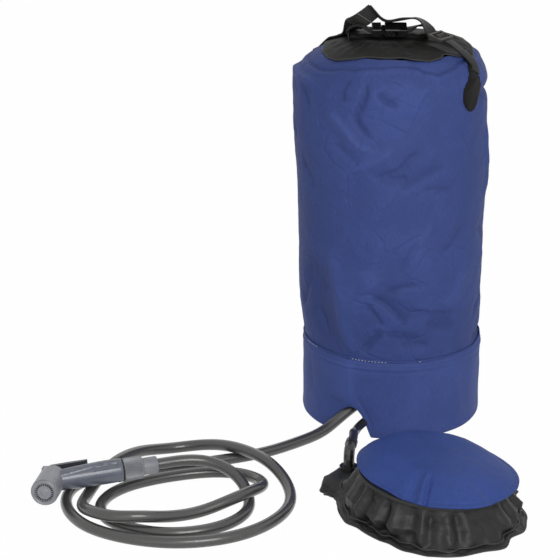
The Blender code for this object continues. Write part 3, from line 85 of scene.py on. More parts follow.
# The hoses' routes round the bag's axis
WATER_ROUTE = (
    (0.0200, -0.0380, 0.0440), (0.0106, -0.0462, 0.0440), (-0.0070, -0.0580, 0.0430),
    (-0.0260, -0.0670, 0.0385), (-0.0440, -0.0752, 0.0305), (-0.0590, -0.0842, 0.0220),
    (-0.0725, -0.0940, 0.0140), (-0.0870, -0.1070, 0.0090),
    (-0.112, -0.128, 0.0075), (-0.138, -0.147, 0.0070), (-0.165, -0.162, 0.0070), (-0.196, -0.174, 0.0070),
    (-0.229, -0.185, 0.0070), (-0.264, -0.194, 0.0070), (-0.302, -0.204, 0.0070), (-0.334, -0.219, 0.0070),
    (-0.354, -0.243, 0.0070), (-0.359, -0.272, 0.0070), (-0.352, -0.302, 0.0070), (-0.334, -0.330, 0.0070),
    (-0.306, -0.351, 0.0070), (-0.269, -0.365, 0.0070), (-0.233, -0.369, 0.0070), (-0.197, -0.363, 0.0070),
    (-0.163, -0.346, 0.0070), (-0.134, -0.314, 0.0070), (-0.121, -0.274, 0.0070), (-0.126, -0.238, 0.0120),
    (-0.143, -0.210, 0.0200), (-0.165, -0.186, 0.0220), (-0.193, -0.162, 0.0190), (-0.224, -0.146, 0.0120),
    (-0.257, -0.150, 0.0100), (-0.285, -0.172, 0.0170), (-0.306, -0.202, 0.0220), (-0.321, -0.226, 0.0190),
    (-0.332, -0.248, 0.0115), (-0.338, -0.270, 0.0090), (-0.339, -0.298, 0.0130), (-0.327, -0.325, 0.0200),
    (-0.303, -0.342, 0.0230), (-0.275, -0.343, 0.0230), (-0.246, -0.331, 0.0170), (-0.214, -0.315, 0.0150),
    (-0.187, -0.302, 0.0200), (-0.163, -0.283, 0.0220), (-0.151, -0.257, 0.0160), (-0.1545, -0.230, 0.0095),
    (-0.173, -0.2105, 0.0070), (-0.203, -0.205, 0.0070), (-0.236, -0.211, 0.0070), (-0.268, -0.223, 0.0070),
    (-0.298, -0.242, 0.0070), (-0.316, -0.266, 0.0070), (-0.321, -0.291, 0.0070), (-0.312, -0.316, 0.0070),
    (-0.290, -0.335, 0.0070), (-0.255, -0.348, 0.0070), (-0.217, -0.345, 0.0070), (-0.186, -0.328, 0.0070),
    (-0.167, -0.299, 0.0070), (-0.166, -0.268, 0.0100), (-0.177, -0.244, 0.0190), (-0.1975, -0.2275, 0.0262),
    (-0.2195, -0.2238, 0.0301), (-0.2400, -0.2272, 0.0311), (-0.2534, -0.2314, 0.0310),
    (-0.2652, -0.2353, 0.0307),
)
AIR_ROUTE = (
    (0.0212, -0.0672, 0.0400), (0.0120, -0.0714, 0.0400), (-0.0055, -0.0788, 0.0350),
    (-0.0225, -0.0856, 0.0242), (-0.0350, -0.0948, 0.0178), (-0.0430, -0.1072, 0.0158),
    (-0.0470, -0.1232, 0.0180), (-0.0491, -0.1420, 0.0258), (-0.0503, -0.1620, 0.0340),
    (-0.0514, -0.1825, 0.0380), (-0.0532, -0.1925, 0.0380),
)
WATER_LENGTH = 2.06
AIR_LENGTH = 0.173
WATER_POINTS = 360
AIR_POINTS = 60

# The filled tank's outline: radius, how far its middle leans to the left, and height
TANK_LINE = (
    (102.4, -0.6, 92.0), (102.8, -0.9, 100.0), (103.8, -2.0, 120.0), (105.6, -3.0, 146.0), (106.2, -3.5, 175.0),
    (106.5, -4.0, 215.0), (107.2, -4.1, 250.0), (108.0, -4.2, 283.0), (109.5, -5.5, 321.0), (109.8, -7.2, 349.0),
    (109.6, -7.7, 380.0), (109.0, -8.0, 403.0), (106.2, -7.6, 413.0), (100.3, -6.6, 422.0), (93.4, -6.0, 429.0),
    (88.0, -5.0, 433.6), (83.0, -4.0, 436.4), (78.0, -3.0, 437.4),
)
TANK_COLUMNS = 276
TANK_ROWS = 176
FRONT_SHARE = 22.0
WEAVE = 0.0009
CLOTH_PER_DEGREE = math.radians(107.0)

# Creases of the tank: depth and width, the side with a soft ridge, how sharp, and the line
TANK_FOLDS = (
    (-2.4, 5.0, 1, 0.3, ((-110, 426), (-108, 412), (-109, 398), (-113, 383), (-113, 375), (-106, 359), (-102, 351))),
    (-2.4, 4.0, 1, 0.8, ((-102, 410), (-98, 401), (-94, 396), (-87, 393))),
    (2.4, 6.0, -1, 0.3, ((-136, 385), (-123, 371), (-113, 350), (-106, 344), (-98, 343))),
    (-2.0, 5.0, 1, 0.5, ((-73, 345), (-83, 334), (-88, 324), (-99, 315), (-106, 310))),
    (-1.8, 4.0, -1, 0.6, ((-97, 314), (-89, 312), (-83, 314))),
    (1.4, 6.0, 0, 0.2, ((-67, 419), (-75, 404), (-78, 393), (-79, 380))),
    (-1.4, 4.0, 1, 0.5, ((-159, 403), (-151, 391), (-149, 378))),
    (-1.3, 5.0, 0, 0.3, ((-52, 291), (-71, 299), (-77, 292))),
    (-1.4, 5.0, 1, 0.3, ((-84, 196), (-86, 203), (-84, 216), (-79, 229), (-74, 236))),
    (-2.8, 4.0, 1, 0.9, ((-107, 173), (-100, 168), (-96, 164), (-90, 154), (-85, 143), (-82, 137))),
    (-1.8, 4.0, -1, 0.7, ((-110, 165), (-105, 158), (-99, 144), (-96, 136))),
    (-1.8, 4.0, 1, 0.6, ((-96, 171), (-91, 181), (-82, 186), (-72, 184))),
    (-2.0, 4.5, -1, 0.6, ((-97, 133), (-99, 128), (-104, 118), (-112, 104))),
    (2.4, 11.0, 1, 0.5, ((-136, 232), (-130, 196), (-126, 165), (-124, 128), (-119, 103), (-116, 90))),
    (-2.2, 17.0, 0, 0.0, ((-146, 215), (-143, 160), (-138, 104))),
    (1.8, 16.0, 0, 0.0, ((-112, 205), (-108, 190), (-104, 178))),
    (2.4, 7.0, 0, 0.4, ((-205, 411), (-182, 413), (-160, 413), (-138, 414))),
    (2.0, 8.0, 0, 0.3, ((-48, 410), (-30, 412), (-8, 412))),
    (-1.5, 4.0, 1, 0.5, ((-97, 127), (-88, 123), (-74, 122))),
    (-1.4, 4.0, -1, 0.5, ((-80, 167), (-79, 157), (-74, 155), (-60, 150), (-45, 148))),
    (-1.2, 4.0, 1, 0.5, ((-88, 112), (-78, 116), (-66, 109))),
    (-3.4, 8.0, 0, 0.2, ((-34, 385), (-18, 392), (0, 390), (18, 387))),
    (-3.4, 7.0, 0, 0.3, ((-34, 105), (-20, 102), (0, 101), (24, 103))),
    (-1.4, 5.0, 1, 0.6, ((-160, 318), (-150, 300), (-146, 282))),
    (-1.4, 4.0, -1, 0.5, ((-118, 424), (-121, 408), (-120, 392))),
    (-1.2, 4.0, 1, 0.6, ((-130, 352), (-118, 334), (-108, 322))),
    (1.5, 6.0, 1, 0.4, ((-128, 300), (-116, 318), (-100, 331), (-88, 352))),
    (-1.6, 5.0, -1, 0.6, ((-58, 322), (-70, 316), (-82, 304), (-90, 298))),
    (1.3, 7.0, 0, 0.3, ((-66, 262), (-76, 232), (-78, 205))),
    (-1.2, 4.0, 1, 0.6, ((-62, 218), (-52, 232), (-44, 252))),
    (1.6, 7.0, 1, 0.6, ((-42, 200), (-50, 172), (-62, 158))),
    (-1.5, 5.0, -1, 0.6, ((-46, 128), (-60, 132), (-72, 140))),
    (-1.6, 5.0, 1, 0.5, ((-150, 150), (-140, 128), (-136, 104))),
    (-1.8, 6.0, 1, 0.5, ((-170, 130), (-160, 150), (-152, 178), (-150, 200))),
    (-1.8, 6.0, -1, 0.4, ((-178, 380), (-170, 352), (-166, 330))),
    (2.0, 8.0, 1, 0.6, ((-10, 360), (-16, 330), (-12, 300), (-20, 262))),
    (-1.8, 5.0, 1, 0.7, ((-30, 240), (-16, 222), (-8, 196))),
    (-1.6, 5.0, -1, 0.6, ((8, 160), (-6, 148), (-22, 140), (-30, 126))),
    (-2.2, 6.0, 1, 0.6, ((30, 404), (38, 380), (34, 352), (42, 330))),
    (2.2, 7.0, -1, 0.6, ((52, 320), (40, 290), (44, 262), (34, 240))),
    (-2.0, 5.0, 1, 0.8, ((18, 250), (30, 236), (46, 232), (58, 214))),
    (-2.0, 5.0, 1, 0.6, ((62, 150), (48, 140), (36, 120), (30, 104))),
    (2.4, 8.0, -1, 0.6, ((74, 210), (66, 180), (68, 140), (60, 104))),
    (-2.2, 5.0, 1, 0.7, ((-262, 392), (-250, 380), (-246, 362), (-236, 354))),
    (2.2, 7.0, 1, 0.5, ((-226, 400), (-232, 370), (-228, 340), (-238, 310))),
    (-2.0, 5.0, -1, 0.7, ((-214, 330), (-224, 312), (-240, 300), (-252, 302))),
    (-1.8, 5.0, 1, 0.6, ((-200, 260), (-210, 240), (-206, 214), (-216, 196))),
    (2.4, 8.0, 1, 0.6, ((-244, 230), (-240, 190), (-246, 150), (-240, 108))),
    (-2.2, 5.0, 1, 0.8, ((-258, 170), (-250, 156), (-236, 148), (-228, 132))),
    (-2.0, 5.0, -1, 0.6, ((-190, 168), (-200, 146), (-198, 122), (-206, 104))),
)
SHOULDER_SEAM = (
    (-152, 427), (-127, 430), (-119, 429), (-105, 431), (-88, 433), (-78, 432), (-69, 427), (-63, 424), (-50, 427),
    (-40, 431), (0, 429), (40, 432), (75, 428), (90, 429), (130, 431), (170, 428),
)

# Skirt: its radius and top, the arch over the hoses, and its creases; the seam above it
SKIRT_R = 104.2
SKIRT_TOP = 93.3
SEAM_R = 103.1
SEAM_Z = 94.5
ARCH = (
    (-141, 0), (-138, 5), (-132, 16), (-127, 26), (-123, 32), (-119, 34.5), (-115, 32), (-112, 26), (-109, 14.5),
    (-105.5, 0),
)
SKIRT_FOLDS = (
    (3.0, 12.0, -1, 0.9, ((-122, 99), (-121, 83), (-120, 60), (-121, 32))),
    (-1.3, 4.0, 1, 0.6, ((-118, 56), (-112, 38), (-107, 22), (-104, 8))),
    (-1.0, 5.0, -1, 0.4, ((-160, 84), (-156, 60), (-152, 36))),
    (-0.9, 6.0, 1, 0.3, ((-72, 80), (-75, 52), (-74, 20))),
    (0.9, 7.0, 0, 0.3, ((-44, 82), (-46, 52), (-40, 14))),
    (-1.2, 6.0, 1, 0.4, ((-6, 84), (-2, 50), (-8, 12))),
    (1.2, 8.0, -1, 0.4, ((40, 84), (36, 44), (44, 8))),
    (-1.2, 6.0, 1, 0.4, ((74, 80), (78, 40), (72, 10))),
    (-1.2, 6.0, 1, 0.4, ((-252, 84), (-246, 50), (-250, 12))),
    (1.2, 8.0, -1, 0.4, ((-214, 84), (-218, 40), (-210, 8))),
)

# Collar: the radius of its lower edge round the bag
COLLAR_EDGE = (
    (-163, 81), (-152, 84), (-140, 85), (-125, 83), (-113, 77), (-100, 77), (-88, 75), (-76, 83), (-67, 86), (-57, 84),
    (-48, 77), (-39, 87), (-27, 93), (-10, 88), (10, 82), (30, 86), (50, 80), (70, 84), (90, 79), (110, 85), (130, 80),
    (150, 84), (172, 79),
)
COLLAR_X = -4.5
MOUTH_X = -11.0
MOUTH_Z = 445.3
MOUTH_L = 86.0
MOUTH_W = 24.0
ROLL_L = 0.086
ROLL_LOW = 0.4451
ROLL_HIGH = 0.4526
ROLL_TURNS = 3.1
ROLL_FLAT = 0.62

# Thread of the seam: the height in mm of each row of stitches, and where it shows round the bag
BLUE_THREAD = (88.6, ((-268.0, 90.0),))
WHITE_THREAD = (94.9, ((-160.0, -148.5), (-118.0, -97.0), (-75.5, -74.0)))
STITCH_PITCH = 3.4
SEAM_STITCH = (0.0025, 0.00065)
PATCH_STITCH = (0.0017, 0.00045)

# Webbing: places on each strap's middle and the way of its width there
WEB_THICK = 0.0016
CARRY_STRAP = (
    ((0.0528, -0.0413, 0.4487), (0.62, 0.79, 0.0)), ((0.0488, -0.0381, 0.4510), (0.62, 0.79, 0.0)),
    ((0.0445, -0.0348, 0.4566), (0.62, 0.79, 0.0)), ((0.0388, -0.0303, 0.4533), (0.62, 0.79, 0.0)),
    ((0.0352, -0.0283, 0.4560), (0.62, 0.79, 0.0)), ((0.0319, -0.0270, 0.4610), (0.60, 0.79, -0.03)),
    ((0.0270, -0.0230, 0.4670), (0.35, 0.93, -0.09)), ((0.0183, -0.0190, 0.4708), (0.09, 0.98, -0.14)),
    ((0.0100, -0.0160, 0.4702), (0.0, 0.96, -0.26)), ((0.0010, -0.0135, 0.4683), (0.0, 0.94, -0.33)),
    ((-0.0068, -0.0120, 0.4665), (0.0, 0.95, -0.30)), ((-0.0139, -0.0104, 0.4659), (0.0, 0.95, -0.30)),
    ((-0.0177, -0.0098, 0.4672), (0.0, 0.95, -0.30)), ((-0.0216, -0.0086, 0.4699), (0.0, 0.95, -0.30)),
    ((-0.0250, -0.0076, 0.4735), (0.0, 0.95, -0.30)), ((-0.0282, -0.0070, 0.4771), (0.0, 0.95, -0.30)),
    ((-0.0330, -0.0064, 0.4826), (0.0, 0.95, -0.30)),
)
FOLDED_STRAP = (
    ((-0.0285, -0.0085, 0.4768), (0.62, 0.0, -0.79)), ((-0.0330, -0.0098, 0.4734), (0.62, 0.0, -0.79)),
    ((-0.0382, -0.0105, 0.4695), (0.64, -0.10, -0.75)),
    ((-0.0454, -0.0095, 0.4650), (0.66, -0.10, -0.72)), ((-0.0500, -0.0020, 0.4625), (0.72, -0.02, -0.62)),
    ((-0.0512, 0.0060, 0.4600), (0.80, 0.06, -0.45)), ((-0.0518, 0.0125, 0.4550), (0.86, 0.30, -0.25)),
    ((-0.0540, 0.0210, 0.4492), (0.72, 0.66, -0.05)), ((-0.0594, 0.0319, 0.4454), (0.62, 0.79, 0.0)),
    ((-0.0655, 0.0435, 0.4424), (0.62, 0.79, 0.0)), ((-0.0716, 0.0522, 0.4395), (0.62, 0.79, 0.0)),
    ((-0.0770, 0.0560, 0.4345), (0.62, 0.79, 0.0)), ((-0.0815, 0.0590, 0.4295), (0.62, 0.79, 0.0)),
    ((-0.0872, 0.0630, 0.4225), (0.62, 0.79, 0.0)), ((-0.0905, 0.0652, 0.4165), (0.62, 0.79, 0.0)),
)
LOWER_STRAP = (
    ((0.0478, -0.0374, 0.4508), (0.58, 0.81, 0.0)), ((0.0530, -0.0414, 0.4497), (0.55, 0.83, 0.0)),
    ((0.0600, -0.0460, 0.4457), (0.52, 0.85, 0.0)), ((0.0672, -0.0500, 0.4402), (0.50, 0.86, 0.0)),
    ((0.0735, -0.0505, 0.4347), (0.50, 0.86, 0.0)), ((0.0785, -0.0500, 0.4292), (0.52, 0.85, 0.0)),
    ((0.0813, -0.0505, 0.4246), (0.55, 0.83, 0.0)), ((0.0819, -0.0557, 0.4185), (0.56, 0.83, 0.0)),
)
FOLD_EDGE = ((-0.0469, -0.0124, 0.4750), (-0.0302, -0.0144, 0.4645))

# Patches on the tank: share of the height, degrees off the patch's middle line, half width in mm
PATCH = (
    (0.0, -3.0, 1.0), (0.06, -3.0, 7.0), (0.15, -2.8, 11.5), (0.27, -2.2, 15.5), (0.42, -1.2, 18.0),
    (0.52, -0.8, 17.8), (0.62, -0.8, 14.0), (0.72, 0.0, 9.5), (0.82, 1.8, 7.0), (0.92, 3.5, 6.5), (1.0, 5.0, 6.5),
)
PATCH_LOW = 378.0
PATCH_HIGH = 428.0
PATCH_TURNS = (-36.5, 145.0)

# Foot pump: the hem's reach, where the cloth rises over the port, and the pad's rim, round the pump
HEM = (
    (130, 97), (134, 108), (138, 121), (142, 123.5), (147, 123), (152, 124), (156, 127), (160, 126), (163, 116),
    (166, 106), (170, 102), (177, 100), (196, 98), (-150, 91), (-125, 92), (-109, 100), (-96, 105), (-83, 107),
    (-65, 105), (-53, 110), (-40, 100), (-29, 104), (-14, 100), (12, 92), (40, 95), (70, 97), (100, 95),
)
PORT_LOBE = ((-150, 0), (60, 0), (127, 0), (136, 1), (154, 1), (166, 0.55), (188, 0))
PAD_RIM = (
    (-177, 81), (-158, 79), (-135, 77), (-114, 82), (-100, 85), (-81, 85), (-58, 87), (-43, 86), (-29, 87), (-15, 89),
    (5, 90), (40, 88), (70, 87), (110, 86), (150, 84),
)

# Creases of the pad: degrees, where they start on its radius, depth, width, and how far they slant
PAD_CREASES = (
    (-111.0, 0.40, 3.4, 6.0, -13.5), (-104.6, 0.36, -3.0, 3.0, -5.5), (-101.0, 0.36, 3.0, 2.6, 0.0),
    (-47.0, 0.50, 2.4, 8.0, 4.0), (-37.0, 0.58, 1.0, 6.0, 4.0), (-135.0, 0.72, 0.8, 7.0, 0.0),
    (24.0, 0.66, 1.2, 7.0, 3.0), (80.0, 0.6, 1.5, 8.0, -3.0), (138.0, 0.62, 1.2, 7.0, 4.0),
    (176.0, 0.7, 1.0, 6.0, 0.0),
)
PAD_EDGE = 0.31
PAD_LIP = 2.6
PLATE_TOP = 0.0033

# Bellows: shares of the way from the hem to the tread, the rise at each, the lift over the port, the wall
BELLOWS_STOPS = (0.0, 0.05, 0.10, 0.17, 0.22, 0.40, 0.62, 0.84, 1.0)
BELLOWS_RISES = (0.0, 0.02, 0.03, 0.07, 0.13, 0.45, 0.72, 0.92, 1.0)
PORT_LIFTS = (1.0, 9.0, 14.6, 16.1, 16.4, 19.5)
BELLOWS_WALL = (90.0, 81.0, 77.5, 77.0)
GATHERS = 19
SPRING_R = 0.045
SPRING_TURNS = 4
SPRING_STEPS = 36
SPRING_FOOT = 0.0058
SPRING_WIRE = 0.0015

# Handle: height and radius in mm, its thumb hollows and its two slanting ribs
HANDLE_LINE = (
    (0.0, 10.3), (3.9, 10.3), (10.0, 10.6), (15.6, 10.8), (26.5, 11.4), (40.6, 11.9), (54.6, 12.3), (67.1, 12.3),
    (74.0, 12.2), (76.6, 11.9), (78.0, 11.0),
)
HANDLE_L = 78.0
HOLLOWS = ((218.0, 17.0, 43.0, 73.0, -1.2), (142.0, 16.0, 50.0, 72.0, -1.2), (335.0, 20.0, 43.0, 73.0, -1.3))
SLANTS = ((208.0, -0.40), (152.0, 0.40))
SPRAY_HOLES = 24
SPRAY_R = 0.0086
SPRAY_HALVES = (0.0015, 0.00078, 0.0003)

# Camera and lamps, from the bag's foot: place, size and power of each lamp
CAMERA_PLACE = (-0.132, -2.09, 0.913)
CAMERA_TILT = math.radians(70.1)
LAMPS_AIM = (-0.05, -0.10, 0.18)
LAMPS = (
    ("key_lamp", (0.34, -1.90, 1.20), 0.9, 21.0), ("fill_lamp", (-0.7, -2.1, 0.45), 1.2, 2.6),
    ("back_lamp", (0.2, 1.5, 1.5), 1.4, 3.0),
)


def tint(name, text, value):
    """A colour that a user can change."""
    return bpy.props.FloatVectorProperty(name=name, description=text, default=value, subtype="COLOR", min=0.0, max=1.0)


def length(name, text, value):
    """A size that a user can change."""
    return bpy.props.FloatProperty(name=name, description=text, default=value, min=0.0, unit="LENGTH", precision=5)


def share(name, text, value):
    """A strength that a user can change."""
    return bpy.props.FloatProperty(name=name, description=text, default=value, min=0.0, soft_max=2.0)


class ShowerColours(bpy.types.PropertyGroup):
    """Colours of the cloth, the plastic and the hoses."""

    tank: tint("Tank cloth", "Coated cloth of the tank and the skirt", (0.0445, 0.0720, 0.2400))
    tread: tint("Tread cloth", "Cloth of the foot pump's pad", (0.0405, 0.0780, 0.2880))
    black_cloth: tint("Black cloth", "Collar, rolled mouth and patches", (0.0078, 0.0075, 0.0070))
    pump_cloth: tint("Pump cloth", "Cloth of the foot pump's bellows", (0.0130, 0.0130, 0.0134))
    webbing: tint("Webbing", "Woven straps", (0.0090, 0.0086, 0.0082))
    thread: tint("Thread", "White thread of the seam", (0.62, 0.66, 0.80))
    water_hose: tint("Water hose", "Soft hose to the handset", (0.0505, 0.0488, 0.0478))
    air_hose: tint("Air hose", "Hose from the pump", (0.018, 0.017, 0.016))
    handle: tint("Handle", "Handle of the handset", (0.119, 0.132, 0.168))
    head: tint("Spray head", "Head of the handset", (0.238, 0.245, 0.271))
    nut: tint("Hose nut", "Turning nut and hose tail", (0.235, 0.240, 0.262))
    lever: tint("Lever", "Thumb lever", (0.040, 0.044, 0.052))
    buckle: tint("Buckle", "Side release buckle", (0.008, 0.008, 0.009))
    slider: tint("Slider", "Strap slider", (0.026, 0.022, 0.019))
    fitting: tint("Fittings", "Elbows, rings, base and plate", (0.015, 0.015, 0.016))


class ShowerSizes(bpy.types.PropertyGroup):
    """Sizes that a user would change."""

    water_hose: length("Water hose", "Outside diameter of the hose to the handset", 0.0125)
    air_hose: length("Air hose", "Outside diameter of the hose from the pump", 0.010)
    webbing: length("Webbing", "Width of the straps", 0.018)
    closing_web: length("Closing web", "Width of the two webs at the buckle", 0.017)
    cloth: length("Cloth", "Thickness of the coated cloth", 0.0012)
    crown: length("Pad crown", "Rise of the tread pad over its plate", 0.0200)
    folds: share("Folds", "Depth of the creases in the tank", 1.7)
    crumple: share("Crumple", "Depth of the small unevenness of the cloth", 1.0)
    gathers: share("Gathers", "Depth of the gathers in the bellows", 1.0)
    lens: bpy.props.FloatProperty(name="Lens", description="Focal length of the camera", default=122.14, min=10.0,
                                  unit="CAMERA")
    sky: share("Sky", "Strength of the even light", 0.35)
    lamp: share("Lamps", "Strength of the lamps", 1.0)


class Wire:
    """One output of a finish's nodes. Arithmetic on it adds Math nodes."""

    def __init__(self, nodes, socket):
        self.nodes = nodes
        self.socket = socket

    def math(self, operation, *others):
        return self.nodes.node("ShaderNodeMath", {"operation": operation}, dict(enumerate((self, *others))))

    def __add__(self, other):
        return self.math("ADD", other)

    def __sub__(self, other):
        return self.math("SUBTRACT", other)

    def __rsub__(self, other):
        return self.nodes.node("ShaderNodeMath", {"operation": "SUBTRACT"}, {0: other, 1: self})

    def __mul__(self, other):
        return self.math("MULTIPLY", other)

    __radd__ = __add__
    __rmul__ = __mul__

    def sine(self):
        return self.math("SINE")

    def size(self):
        return self.math("ABSOLUTE")

    def between(self, low, high):
        """0 below low, 1 above high, eased in the middle."""
        return self.nodes.node("ShaderNodeMapRange", {"interpolation_type": "SMOOTHSTEP"},
                               {0: self, 1: low, 2: high})


class Nodes:
    """The nodes of a material or of the world."""

    def __init__(self, tree):
        self.tree = tree

    def feed(self, socket, value):
        if isinstance(value, Wire):
            self.tree.links.new(value.socket, socket)
        elif socket.type == "RGBA":
            socket.default_value = (*value[:3], 1.0)
        else:
            socket.default_value = value

    def node(self, kind, settings=None, sockets=None, out=0):
        made = self.tree.nodes.new(kind)
        for key, value in (settings or {}).items():
            setattr(made, key, value)
        for key, value in (sockets or {}).items():
            self.feed(made.inputs[key], value)
        return Wire(self, made.outputs[out])

    def seen(self):
        """1 where the camera looks straight, in a mirror or through glass, 0 where light is only passed on."""
        rays = self.node("ShaderNodeLightPath", out="Is Camera Ray")
        outputs = rays.socket.node.outputs
        seen = rays + Wire(self, outputs["Is Glossy Ray"]) + Wire(self, outputs["Is Transmission Ray"])
        return seen.math("MINIMUM", 1.0)

    def show(self, amount, first, second, output):
        """End the nodes in a mix of two shaders."""
        both = self.node("ShaderNodeMixShader", sockets={0: amount, 1: first, 2: second})
        self.feed(self.tree.nodes[output].inputs["Surface"], both)


class Finish(Nodes):
    """A procedural material."""

    def __init__(self, name, roughness, fixed=None):
        self.material = bpy.data.materials.new(name)
        self.material.use_nodes = True
        super().__init__(self.material.node_tree)
        self.shader = self.tree.nodes["Principled BSDF"]
        self.put("Roughness", roughness)
        for socket, value in (fixed or {}).items():
            self.put(socket, value)

    def put(self, socket, value):
        self.feed(self.shader.inputs[socket], value)

    def solid(self):
        """Places in metres, fixed to the object."""
        return self.node("ShaderNodeTexCoord", out="Object")

    def cloth(self):
        """Places in metres along and across the cloth."""
        return self.node("ShaderNodeUVMap", {"uv_map": "cloth"})

    def axis(self, where, index):
        return self.node("ShaderNodeSeparateXYZ", sockets={0: where}, out=index)

    def stretch(self, where, scale):
        return self.node("ShaderNodeMapping", sockets={"Vector": where, "Scale": scale})

    def noise(self, where, scale, detail=3.0, rough=0.55):
        return self.node("ShaderNodeTexNoise", sockets={"Vector": where, "Scale": scale, "Detail": detail,
                                                        "Roughness": rough})

    def mix(self, amount, first, second, blend="MIX"):
        return self.node("ShaderNodeMix", {"data_type": "RGBA", "blend_type": blend},
                         {0: amount, 6: first, 7: second}, 2)

    def fold(self):
        return self.node("ShaderNodeAttribute", {"attribute_name": "fold"}, out="Fac")

    def bump(self, height, distance, strength):
        self.put("Normal", self.node("ShaderNodeBump", sockets={"Height": height, "Distance": distance,
                                                               "Strength": strength}))


def deeper(colour, amount):
    """A colour made darker, or lighter above 1."""
    return tuple(min(1.0, part * amount) for part in colour)


def finish_named(name, make, *settings, **named):
    """The finish of this name, made when it is first asked for."""
    return bpy.data.materials.get(name) or make(name, *settings, **named)


def woven_finish(name, colour, rough, shine=0.2, fold_shade=0.78, ridge_highlight_and_wear=1.14, worn=1.25, crumpled=0.6):
    """Coated woven cloth: threads, painted shade in the folds, and rubbed coating with a painted highlight on the
    ridges.
    """
    cloth = Finish(name, rough, {"Specular IOR Level": shine})
    flat = cloth.cloth()
    body = cloth.solid()
    across, along = ((cloth.axis(flat, index) * (FULL_TURN / WEAVE)).sine() for index in (0, 1))
    weave = across * along * 0.5 + 0.5
    speck = cloth.noise(flat, 900.0, 2.0, 0.7)
    slub = cloth.noise(cloth.stretch(flat, (1.0, 0.15, 1.0)), 900.0, 2.0, 0.6)
    cloud = cloth.noise(body, 22.0, 4.0, 0.6)
    bent = cloth.noise(body, 9.0, 2.0, 0.5) * 0.05
    crease = cloth.node("ShaderNodeTexVoronoi", {"feature": "DISTANCE_TO_EDGE"},
                        {"Vector": cloth.node("ShaderNodeVectorMath", {"operation": "ADD"}, {0: body, 1: bent}),
                         "Scale": 27.0})
    crease = crease.between(0.0, 0.07) * cloud.between(0.44, 0.56)
    fold = cloth.fold()
    # the fold attribute: its valleys mark painted shade, and its ridges a painted highlight together with rubbed
    # coating
    valley = fold.between(-0.05, -1.0)
    ridge = fold.between(0.15, 1.1)
    tone = cloth.mix(cloud.between(0.30, 0.72), deeper(colour, 0.90), deeper(colour, 1.09))
    tone = cloth.mix((speck * 0.6 + slub * 0.4).between(0.38, 0.66), cloth.mix(1.0, tone, (0.84,) * 3, "MULTIPLY"),
                     cloth.mix(1.0, tone, (1.12,) * 3, "MULTIPLY"))
    tone = cloth.mix(weave * 0.14, tone, deeper(colour, worn))
    # painted shade in the valleys, then a painted highlight and rubbed coating on the ridges
    tone = cloth.mix(valley * 0.75, tone, deeper(colour, fold_shade))
    tone = cloth.mix(ridge * 0.55, tone, deeper(colour, ridge_highlight_and_wear))
    cloth.put("Base Color", tone)
    cloth.put("Roughness", cloud * 0.16 + speck * 0.10 + ridge * -0.06 + (rough - 0.12))
    cloth.bump(weave * 0.3 + speck * 0.25 + slub * 0.15 + crease * crumpled, 0.00024, 0.7)
    return cloth.material


def webbing_finish(name, colour):
    """Flat woven webbing, with ribs across it and a painted highlight along both edges."""
    web = Finish(name, 0.55, {"Sheen Weight": 0.05, "Sheen Roughness": 0.4, "Specular IOR Level": 0.25})
    flat = web.cloth()
    across = web.axis(flat, 0)
    along = web.axis(flat, 1)
    zig = (across * (FULL_TURN / 0.0042)).sine().size() * 0.0009
    ribs = ((along + zig) * (FULL_TURN / 0.0016)).sine() * 0.5 + 0.5
    warp = (across * (FULL_TURN / 0.0011)).sine() * 0.5 + 0.5
    fuzz = web.noise(flat, 1500.0, 3.0, 0.7)
    # painted highlight: both edges of the webbing are made lighter
    edge = across.size().between(0.0078, 0.0096)
    tone = web.mix((ribs * 0.6 + fuzz * 0.4).between(0.2, 0.8), deeper(colour, 0.6), deeper(colour, 1.7))
    tone = web.mix(edge * 0.5, tone, deeper(colour, 2.4))
    web.put("Base Color", tone)
    web.put("Roughness", ribs * -0.12 + fuzz * 0.15 + 0.55)
    web.bump(ribs * 0.6 + warp * 0.3 + fuzz * 0.2, 0.00025, 0.8)
    return web.material


def hose_finish(name, colour, shine, coat):
    """Soft extruded hose: drawn streaks, handling marks and a little dust."""
    skin = Finish(name, shine, {"Coat Roughness": 0.18, "Specular IOR Level": 0.5})
    body = skin.solid()
    cloud = skin.noise(body, 14.0, 4.0, 0.6)
    speck = skin.noise(body, 420.0, 3.0, 0.65)
    drawn = skin.noise(skin.stretch(body, (1.0, 1.0, 6.0)), 160.0, 2.0, 0.5)
    scuff = skin.noise(body, 60.0, 6.0, 0.75).between(0.60, 0.74)
    tone = skin.mix(cloud.between(0.3, 0.7), deeper(colour, 0.86), deeper(colour, 1.14))
    tone = skin.mix(speck.between(0.35, 0.7) * 0.5, tone, deeper(colour, 1.3))
    tone = skin.mix(scuff * 0.35, tone, deeper(colour, 1.8))
    skin.put("Base Color", tone)
    skin.put("Coat Weight", coat - scuff * (coat * 0.6))
    skin.put("Roughness", cloud * 0.12 + scuff * 0.2 + drawn * 0.08 + (shine - 0.08))
    skin.bump(speck * 0.35 + drawn * 0.65, 0.00012, 0.5)
    return skin.material


